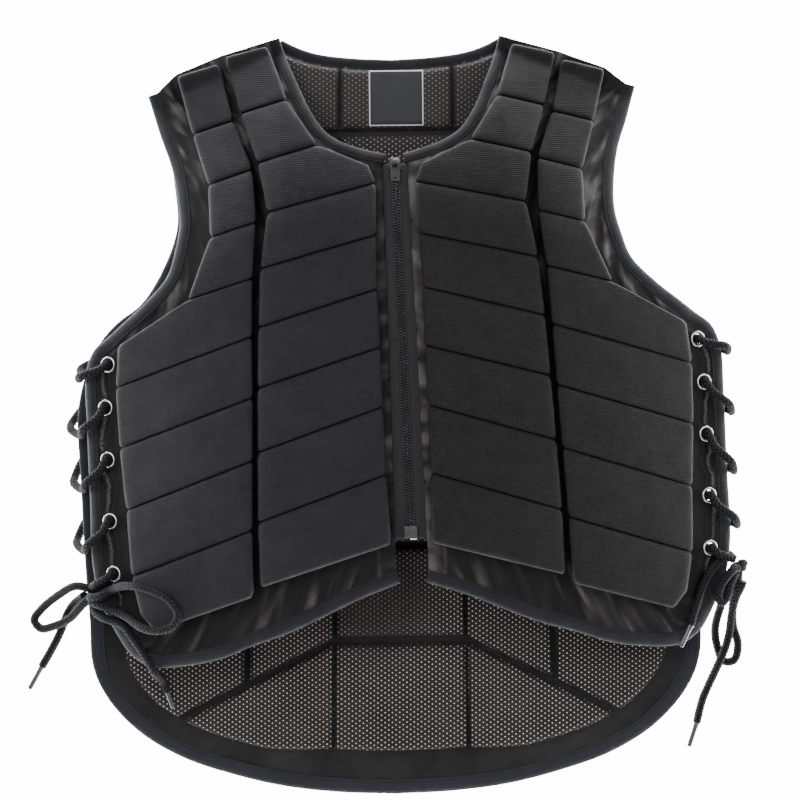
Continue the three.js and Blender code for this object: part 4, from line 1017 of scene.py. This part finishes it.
tile_outline = back_outline(NECK_BINDING + GAP, tile_border(back_line[:, 0], back_line[:, 1]))
COLUMN_SHARPNESS = (1.75, 1.15)
LOW_ROW_WIDTH = 0.8


def groove_distance(x, y):
    """Distance to the nearest line between two tiles."""
    level_x = np.abs(x - TILE_SHIFT)
    columns = [COLUMN_SHARPNESS[k] * np.abs(level_x - tile_column(k, y)) for k in (0, 1)]
    rows = []
    for down, fall in TILE_ROWS[1:-1]:
        level = NECK_TOP - down * BACK_LENGTH
        slanted = level - fall * np.maximum(0, level_x - tile_column(0, level))
        rows.append(np.abs(y - slanted) * math.cos(math.atan(fall)))
    rows[-1] = rows[-1] * np.where(level_x < tile_column(0, y), LOW_ROW_WIDTH, 1)
    columns[1] = np.where(y < slanted, BACK_HALF, columns[1])
    return np.minimum.reduce(columns + rows)


TILE_DROPS = ([0, 1.2, 2.0, 2.5, 3.2, 4.2, 5.6, 8.0], [1.0, 0.97, 0.88, 0.55, 0.28, 0.12, 0.03, 0.0])


def tile_lift(x, y):
    flat = np.column_stack([x, y])
    within = inside(flat, tile_outline)
    to_border = distance_to(flat, tile_outline)
    edge = np.minimum(groove_distance(x, y), np.where(within, to_border + 1.6, 0))
    return np.where(within, 1 - np.interp(edge, *TILE_DROPS), 0)


def groove_points():
    """Mesh points beside every groove and along the border, where the padding bends."""
    beside = (-4.5, -3, -2.2, -1.0, 1.0, 2.2, 3, 4.5)
    found = []
    for down, fall in TILE_ROWS[1:-1]:
        level = NECK_TOP - down * BACK_LENGTH
        for x in np.arange(-250, 250, GROOVE_STEP):
            y = level - fall * max(0, abs(x) - tile_column(0, level))
            found += [(x + TILE_SHIFT, y + d) for d in beside]
    for y in np.arange(-330, 330, GROOVE_STEP):
        for which in (0, 1):
            for side in (-1, 1):
                x = side * tile_column(which, y) + TILE_SHIFT
                found += [(x + d, y) for d in beside]
    closed = np.vstack([tile_outline, tile_outline[:1]])
    line = resampled(closed, GROOVE_STEP)[:-1]
    for d in (-1.5, 0.5, 2.0, 4.0):
        found += inset(line, 1, np.full(len(line), d)).tolist()
    return np.array(found)


def back_sheet():
    """The back's padding: tiles that rise from the web, flat on the floor below."""
    outline = back_outline(NECK_BINDING - SHEET_LAP, BACK_BINDING - SHEET_LAP)
    outline = resampled(np.vstack([outline, outline[:1]]), GROOVE_STEP)[:-1]

    def edge_puckers(x, y):
        far, at = along_line(np.column_stack([np.abs(x), y]), back_line[::3])
        fade = np.exp(-(np.maximum(0, far - 14) / 12) ** 2)
        return fade * (noise(at / 8, far / 30, 71) * 1.3 + noise(at / 17, far / 40, 72) * 1.6 * np.sign(x))

    def top(x, y):
        lift = tile_lift(x, y)
        bumps = 0.6 * fbm(x / 40, y / 40, 73) * lift
        return back_top(x) + lift * (BACK_FOAM - back_top(x)) + bumps + (1 - lift) * edge_puckers(x, y) * 0.8

    def bottom(x, y):
        lift = tile_lift(x, y)
        low = back_top(x) - COVER
        return low - lift * low + 0.02

    points, faces, upper = closed_sheet(
        outline, BACK_STEP, top, bottom, groove_points(),
        [((s * x, y), EYELET_HOLE - 0.2) for x, y in back_eyelets for s in (-1, 1)])
    tile = tile_lift(points[:, 0], points[:, 1]) * upper
    piece = new_mesh("back_padding", lay_back(points), faces, lining_mesh, points[:, :2],
                     {"tile": smooth((tile - 0.6) / 0.35)})
    dress(piece, "lining_mesh", "back_panel")


back_sheet()

# Label place


def label_patch(name, half_w, half_h, base, thick, made_of, nodes=(), columns=14):
    """A slightly uneven rectangle of cloth under the back of the neck."""
    middle = NECK_TOP - BACK_NECK_EDGE[0][1] * BACK_LENGTH - NECK_BINDING - 1 - LABEL_HEIGHT / 2
    top = [(x, middle + y, base + thick + 0.35 * float(noise(np.array(x / 14), np.array(y / 14), 81)))
           for y in np.linspace(-half_h, half_h, columns) for x in np.linspace(-half_w, half_w, columns)]
    low = [(x, y, base) for x, y, _ in top]
    shifted = [(x + TILE_SHIFT, y, z) for x, y, z in top + low]
    uvs = [p[:2] for p in shifted]
    piece = new_mesh(name, lay_back(shifted), slab_faces(columns, columns), made_of, uvs)
    dress(piece, "label_cloth", *nodes)


label_patch("label_ground", LABEL_WIDTH / 2, LABEL_HEIGHT / 2, BACK_FOAM + 0.3, 0.7,
            label_edge, ["label_patch"])
label_patch("label_face", LABEL_WIDTH / 2 - LABEL_RIM, LABEL_HEIGHT / 2 - LABEL_RIM, BACK_FOAM + 0.6, 0.75,
            label_ground)

# Eyelets


def eyelet_group(name, spots, where, lay, nodes):
    """Rolled rings on a margin, one piece a row."""
    profile = [(4.5, -1.6), (4.5, 0.3), (4.6, 0.95), (4.95, 1.35), (5.6, 1.5), (6.2, 1.35), (6.7, 0.95),
               (6.95, 0.45), (6.9, 0.05), (5.6, 0.0), (5.0, -0.4), (4.8, -1.6)]
    sides = 40
    points, faces = [], []
    for spot in spots:
        centre, tilt = where(spot)
        start = len(points)
        for k in range(sides):
            turn = 2 * math.pi * k / sides
            for r, z in profile:
                x, y = r * math.cos(turn), r * math.sin(turn)
                z = z + GAP
                points.append((centre[0] + x * math.cos(tilt) + z * math.sin(tilt), centre[1] + y,
                               centre[2] - x * math.sin(tilt) + z * math.cos(tilt)))
        count = len(profile)
        for k in range(sides):
            for i in range(count):
                a, b = start + k * count + i, start + k * count + (i + 1) % count
                c, d = start + (k + 1) % sides * count + (i + 1) % count, start + (k + 1) % sides * count + i
                faces.append((a, b, c, d))
    dress(new_mesh(name, lay(points), faces, eyelet_steel), "eyelet_steel", *nodes)


for word, sign in SIDES:
    eyelet_group(f"rings_front_{word}", front_eyelets, front_spot, sided(lay_front, sign),
                 [f"eyelet_front_{word}_{i + 1}" for i in range(5)])
    eyelet_group(f"rings_back_{word}", back_eyelets, back_spot, sided(lay_back, sign),
                 [f"eyelet_back_{word}_{i + 1}" for i in range(5)])

# Laces


def lace_points(sign):
    """The laced run's points, as in the part's source."""
    lift = LACE / 2 + GAP

    def spot(where, lay, eyelet, along, up):
        centre, tilt = where(eyelet)
        x, y, z = centre + np.array([math.sin(tilt), 0, math.cos(tilt)]) * up
        return sided(lay, sign)([(x + along, y, z)])[0]

    def front(eyelet, along, up):
        return spot(front_spot, lay_front, eyelet, along, up)

    def back(eyelet, along, up):
        return spot(back_spot, lay_back, eyelet, along, up)

    lead = 13
    first, last = front_eyelets[0], front_eyelets[-1]
    points = list(RIGHT_LEAD_IN if sign < 0 else LEFT_LEAD_IN)
    points.append(front((last[0], last[1] + 2), -lead, -COVER - 9))
    for share in (0.29, 0.57, 0.87):
        points.append(front((last[0], lerp(last[1], first[1], share)), -lead, -COVER - 10))
    points.append(front((first[0], first[1] - 3), -0.5 * lead, -COVER - 10))
    for i, eyelet in enumerate(front_eyelets):
        points.append(front(eyelet, 0, -COVER - 3.5))
        points.append(front(eyelet, 0, 4.5))
        if i == len(front_eyelets) - 1:
            break
        x, y = eyelet
        under = back_eyelets[i]
        fall = (RIGHT_FALLS if sign < 0 else LEFT_FALLS)[i]
        front_out = abs(lay_front([(sign * reach_at(front_line, y - fall), y - fall, 0)])[0][0])
        back_out = abs(lay_back([(sign * reach_at(back_line, y - fall), y - fall, 0)])[0][0])
        between = max(front_out, (front_out + back_out) / 2)
        level = lay_front([(sign * x, y, 0)])[0][1]
        curled = float(back_top(reach_at(back_line, y - fall))) - COVER
        points.append(front((x, y - 0.35 * fall), 3.5, lift + 4))
        points.append(front((x, y - 0.8 * fall), reach_at(front_line, y - fall) - x - 1, lift + 4))
        points.append((sign * (front_out + lift + 1), level - fall - 1, SIDE_HEIGHT + 1))
        points.append((sign * (between + lift + 1), level - fall, SIDE_HEIGHT - 2 * COVER))
        points.append((sign * (back_out + lift + 1.5), level - fall + 4, curled + COVER))
        points.append((sign * (back_out + lift + 1.5), level - fall + 8, curled - 3))
        points.append(back((under[0], under[1] - fall / 4), 14, -COVER - lift - 2.5))
        points.append(back(under, 0, -COVER - 5))
        points.append(back(under, 0, 3.5))
        points.append(back((under[0], under[1] - 20), 0, 9))
    points += RIGHT_LEAD_OUT if sign < 0 else LEFT_LEAD_OUT
    return np.array([tuple(map(float, p)) for p in points])


def knot(name, centre, turn, node):
    """The bow's knot: two turns of the lace round its middle."""
    wraps = []
    for k in range(19):
        a = k / 18 * 2 * math.pi * 1.25 + turn
        wraps.append((centre[0] + 4.4 * math.cos(a) * math.cos(turn) + (k / 18 - 0.5) * 5.0 * math.sin(turn),
                      centre[1] + 4.6 * math.cos(a) * math.sin(turn) + (k / 18 - 0.5) * 5.0 * math.cos(turn),
                      centre[2] + 3.6 * math.sin(a)))
    piece, _ = tube(name, wraps, lace_braid, radius=3.5)
    return dress(piece, "lace_braid", node)


def strand(name, points, far_end, nodes=(), with_pieces=()):
    """A free length of the lace, which leaves the knot at its first point."""
    piece, path = tube(name, points, lace_braid)
    dress(piece, "lace_braid", *nodes)


def aglet(name, tail, tip, node):
    """A shrunk sleeve over the lace's end, slightly flattened."""
    start, end = np.array(tail[-1], float), np.array(tip, float)
    direction = (end - start) / np.linalg.norm(end - start)
    start = start - direction * 1.5
    length = np.linalg.norm(end - start)
    stations = [(0.0, 3.0), (0.04, 3.1), (0.12, 2.5), (0.3, 2.05), (0.6, 1.95), (0.93, 1.85), (0.985, 1.6),
                (1.0, 0.9)]
    side = np.cross(direction, (0, 0, 1.0))
    side /= np.linalg.norm(side)
    up = np.cross(side, direction)
    sides = 20
    points = []
    for share, r in stations:
        for k in range(sides):
            a = 2 * math.pi * k / sides
            flat = 1 - 0.25 * share
            offset = side * math.cos(a) * r * (1 + 0.12 * share) + up * math.sin(a) * r * flat
            points.append(start + direction * length * share + offset)
    piece = new_mesh(name, points, ring_faces(len(stations), sides), aglet_gloss)
    return dress(piece, "aglet_plastic", node)


for word, sign in SIDES:
    run, _ = tube(f"lacing_{word}", lace_points(sign), lace_braid)
    dress(run, "lace_braid", f"lace_{word}_run")


def bow(word, centre, turn, side_loop, block_loop, tails, tips):
    tie = knot(f"knot_{word}", centre, turn, f"lace_{word}_bow")
    strand(f"loop_{word}_side", side_loop, "object", with_pieces=[tie])
    strand(f"loop_{word}_block", block_loop, "object")
    for which, tail, tip in zip(("short", "long"), tails, tips):
        sleeve = aglet(f"sleeve_{word}_{which}", tail, tip, f"aglet_{word}_{which}")
        strand(f"tail_{word}_{which}", tail, "fitting", [f"lace_{word}_{which}_tail"], [sleeve])


bow("right", RIGHT_KNOT, 0.7, RIGHT_SIDE_LOOP, RIGHT_BLOCK_LOOP, (RIGHT_SHORT_TAIL, RIGHT_LONG_TAIL),
    (RIGHT_SHORT_TIP, RIGHT_LONG_TIP))
bow("left", LEFT_KNOT, 0.2, LEFT_SIDE_LOOP, LEFT_BLOCK_LOOP, (LEFT_SHORT_TAIL, LEFT_LONG_TAIL),
    (LEFT_SHORT_TIP, LEFT_LONG_TIP))

# Zip

TAPE_TOP = -COVER - GAP
CHAIN_TOP = TAPE_TOP + GAP + CHAIN_THICK
PROFILE_LEVELS = [335, 308, 286, 260, 238, 214, 200, 189, 170, 145, 118, 86, -60, -88, -150, -215]


def facet_height(y):
    levels = np.array(PROFILE_LEVELS[::-1], float)
    return np.interp(y, levels, front_height(np.zeros(len(levels)), levels))


def zip_tape(word, sign):
    ys = np.arange(ZIP_BOTTOM - BOX_LENGTH, ZIP_TOP + 0.1, 3.0)
    xs = np.array([0.5, 2, 4, 6, 7.5, 9, 10.5, 12, 14, 17.4])
    points, uvs = [], []
    for y in ys:
        for x in xs:
            z = facet_height(y) + TAPE_TOP + 0.18 * float(noise(np.array(y / 7), np.array(x / 7), 91))
            points.append((x, y, z - (0.0 if x < 9 else 0.25)))
            uvs.append((y, x))
    points += [(x, y, z - 0.9) for x, y, z in points]
    faces = slab_faces(len(ys), len(xs))
    if sign < 0:
        faces = [f[::-1] for f in faces]
    piece = new_mesh(f"tape_{word}", sided(lay_front, sign)(points), faces, tape_cloth, uvs + uvs)
    dress(piece, "zip_plastic", f"zip_tape_{word}")


def rounded_box(size, centre, bevel, segments=2):
    """Points and faces of a box with rounded edges, in mm."""
    made = bmesh.new()
    bmesh.ops.create_cube(made, size=1.0)
    for v in made.verts:
        v.co = Vector([v.co[k] * size[k] + centre[k] for k in range(3)])
    bmesh.ops.bevel(made, geom=list(made.edges), offset=bevel, segments=segments, profile=0.6, affect="EDGES")
    made.verts.index_update()
    points = [tuple(v.co) for v in made.verts]
    faces = [tuple(v.index for v in f.verts) for f in made.faces]
    made.free()
    return points, faces


def joined(parts):
    points, faces = [], []
    for more, its_faces in parts:
        start = len(points)
        points += list(more)
        faces += [tuple(start + i for i in f) for f in its_faces]
    return np.array(points), faces


def zip_chain():
    """Moulded teeth of both sides, engaged: an outer bead, a neck and a head each."""
    parts = []
    box_bead, box_faces = rounded_box((1.5, 1.05, 1.9), (0, 0, 0), 0.4, 1)
    head, head_faces = rounded_box((2.3, 0.85, 1.7), (0, 0, 0), 0.35, 1)
    y = ZIP_BOTTOM + 1.0
    k = 0
    while y < SLIDER_TOP - SLIDER_LENGTH + 2:
        side = 1 if k % 2 else -1
        z = float(facet_height(y)) + CHAIN_TOP - 1.2
        parts.append((np.array(box_bead) + (side * 2.85, y, z), box_faces))
        parts.append((np.array(head) + (side * 0.8, y, z - 0.1), head_faces))
        y += TOOTH_PITCH / 2
        k += 1
    points, faces = joined(parts)
    dress(new_mesh("zip_teeth", lay_front(points), faces, tooth_plastic), "zip_plastic", "zip_chain")


slider_y = SLIDER_TOP - SLIDER_LENGTH / 2
slider_rise = facet_height(SLIDER_TOP) - facet_height(SLIDER_TOP - SLIDER_LENGTH)
slider_pitch = math.atan(slider_rise / SLIDER_LENGTH)
PLATE_TOP = GAP + 1.5
PIVOT = PLATE_TOP + GAP + 0.75


def on_slider(points):
    p = np.array(points, float)
    c, s = math.cos(slider_pitch), math.sin(slider_pitch)
    out = np.column_stack([p[:, 0], c * p[:, 1] - s * p[:, 2] + slider_y,
                           s * p[:, 1] + c * p[:, 2] + facet_height(slider_y) + CHAIN_TOP])
    return lay_front(out)


def plate(outline, low, high, bevel=0.3):
    """A flat body over an outline, its rims softened."""
    outline = np.array(outline, float)
    middle = outline.mean(0)
    levels = [(1 - bevel / 5, low), (1, low + bevel), (1, high - bevel), (1 - bevel / 5, high)]
    points = []
    for share, z in levels:
        points += [(*(middle + (p - middle) * share), z) for p in outline]
    return points, ring_faces(len(levels), len(outline))


def zip_slider():
    """The slider's plates and the arch that holds the pull."""
    body = [(-2.6, 6.5), (-3.9, 4.4), (-4.3, 0.0), (-3.8, -6.4), (3.8, -6.4), (4.3, 0.0), (3.9, 4.4),
            (2.6, 6.5), (1.1, 5.6), (-1.1, 5.6)]
    parts = [plate(body, GAP, PLATE_TOP)]
    for side in (-1, 1):
        parts.append(rounded_box((1.0, 11.4, 3.4), (side * 4.2, -0.4, PLATE_TOP - 2.1), 0.4))
    half = [(2.6, -0.4), (2.5, 1.9), (1.8, 3.0)]
    arch = half + [(0, 3.2)] + [(-y, up) for y, up in half[::-1]]
    path = catmull([(0, y, PLATE_TOP + up) for y, up in arch], 0.7)
    ring = []
    for i, p in enumerate(path):
        t = path[min(i + 1, len(path) - 1)] - path[max(0, i - 1)]
        t /= np.linalg.norm(t)
        up = np.cross((1.0, 0, 0), t)
        for a in np.arange(10) / 10 * 2 * math.pi:
            ring.append(p + np.array([1.05 * math.cos(a), 0, 0]) + up * 0.55 * math.sin(a))
    parts.append((ring, ring_faces(len(path), 10)))
    points, faces = joined(parts)
    dress(new_mesh("slider_body", on_slider(points), faces, slider_enamel), "zip_metal", "zip_slider")


def zip_pull():
    """The tab: a frame round the cross bar, then a tapering plate with a small hole."""
    parts = []
    bar, sides = [], 12
    for x in (-3.6, 3.6):
        for k in range(sides):
            a = 2 * math.pi * k / sides
            bar.append((x, 0.72 * math.cos(a), PIVOT + 0.72 * math.sin(a)))
    parts.append((bar, ring_faces(2, sides)))
    for side in (-1, 1):
        parts.append(rounded_box((1.9, 6.2, 1.4), (side * 2.85, -2.5, PIVOT), 0.35))
    tab = [(-3.8, -4.9), (3.8, -4.9), (3.9, -8), (3.7, -13), (3.3, -16.2), (2.4, -16.9), (-2.4, -16.9),
           (-3.3, -16.2), (-3.7, -13), (-3.9, -8)]
    points, faces, _ = closed_sheet(
        resampled(np.array(tab + tab[:1], float), 0.9)[:-1], 0.9,
        lambda x, y: PIVOT + 0.7 - 0.25 * (np.abs(x) > 2.9),
        lambda x, y: np.full(len(x), PIVOT - 0.7), holes=[((0.0, -13.9), 0.95)])
    parts.append((points, faces))
    points, faces = joined(parts)
    piece = new_mesh("pull_tab", on_slider(points), faces, pull_enamel, smooth_shade=False, body="zip_pull")
    dress(piece, "zip_metal", "zip_pull")


def zip_box():
    """The zip's bottom stop, with two raised bars and a plated pin."""
    middle = ZIP_BOTTOM - BOX_LENGTH / 2
    z = float(facet_height(middle)) + TAPE_TOP + 2 * GAP + 2
    parts = [rounded_box((10.8, 9.6, 3.8), (0, middle, z), 0.7, 3)]
    parts += [rounded_box((2.6, 7.0, 0.6), (x, middle + 1, z + 1.9), 0.25) for x in (-2.4, 2.4)]
    points, faces = joined(parts)
    dress(new_mesh("bottom_box", lay_front(points), faces, tooth_plastic), "zip_plastic", "zip_bottom_box")
    points, faces = rounded_box((5.6, 1.3, 1.4), (2.0, ZIP_BOTTOM - BOX_LENGTH + 0.6, z + 1.0), 0.4)
    dress(new_mesh("bottom_pin", lay_front(points), faces, shiny_pin), "eyelet_steel")


for word, sign in SIDES:
    zip_tape(word, sign)
zip_chain()
zip_slider()
zip_pull()
zip_box()

# Floor and light


# Each lamp's name, place, width in metres and power in watts
LAMPS = [("key", (-1.0, 0.7, 2.1), 1.4, 27),
         ("fill", (1.3, 0.5, 1.8), 1.6, 16),
         ("low", (0.2, -1.8, 1.2), 1.6, 9)]
FLOOR_HALF, FLOOR_GLOW, SKY_LIGHT = 4.0, 14.0, 0.75


def stage():
    """A white floor that glows, even light from above, and three soft lamps."""
    corners = [(x * FLOOR_HALF, y * FLOOR_HALF, -0.0005) for x, y in ((-1, -1), (1, -1), (1, 1), (-1, 1))]
    mesh = bpy.data.meshes.new("floor")
    mesh.from_pydata(corners, [], [(0, 1, 2, 3)])
    made, _, shader = material("floor")
    settle(shader, {"Base Color": (0.9, 0.9, 0.9, 1), "Roughness": 0.9, "Emission Color": (1, 1, 1, 1),
                    "Emission Strength": FLOOR_GLOW})
    mesh.materials.append(made)
    floor = bpy.data.objects.new("floor", mesh)
    bpy.context.scene.collection.objects.link(floor)
    world = bpy.data.worlds.new("studio")
    world.use_nodes = True
    background = world.node_tree.nodes["Background"]
    background.inputs[0].default_value = (1, 1, 1, 1)
    background.inputs[1].default_value = SKY_LIGHT
    bpy.context.scene.world = world
    for name, place, size, power in LAMPS:
        lamp = bpy.data.lights.new(name, "AREA")
        lamp.shape = "SQUARE"
        lamp.size = size
        lamp.energy = power
        holder = bpy.data.objects.new(name, lamp)
        holder.location = place
        holder.rotation_euler = (-Vector(place)).to_track_quat("-Z", "Y").to_euler()
        bpy.context.scene.collection.objects.link(holder)


stage()
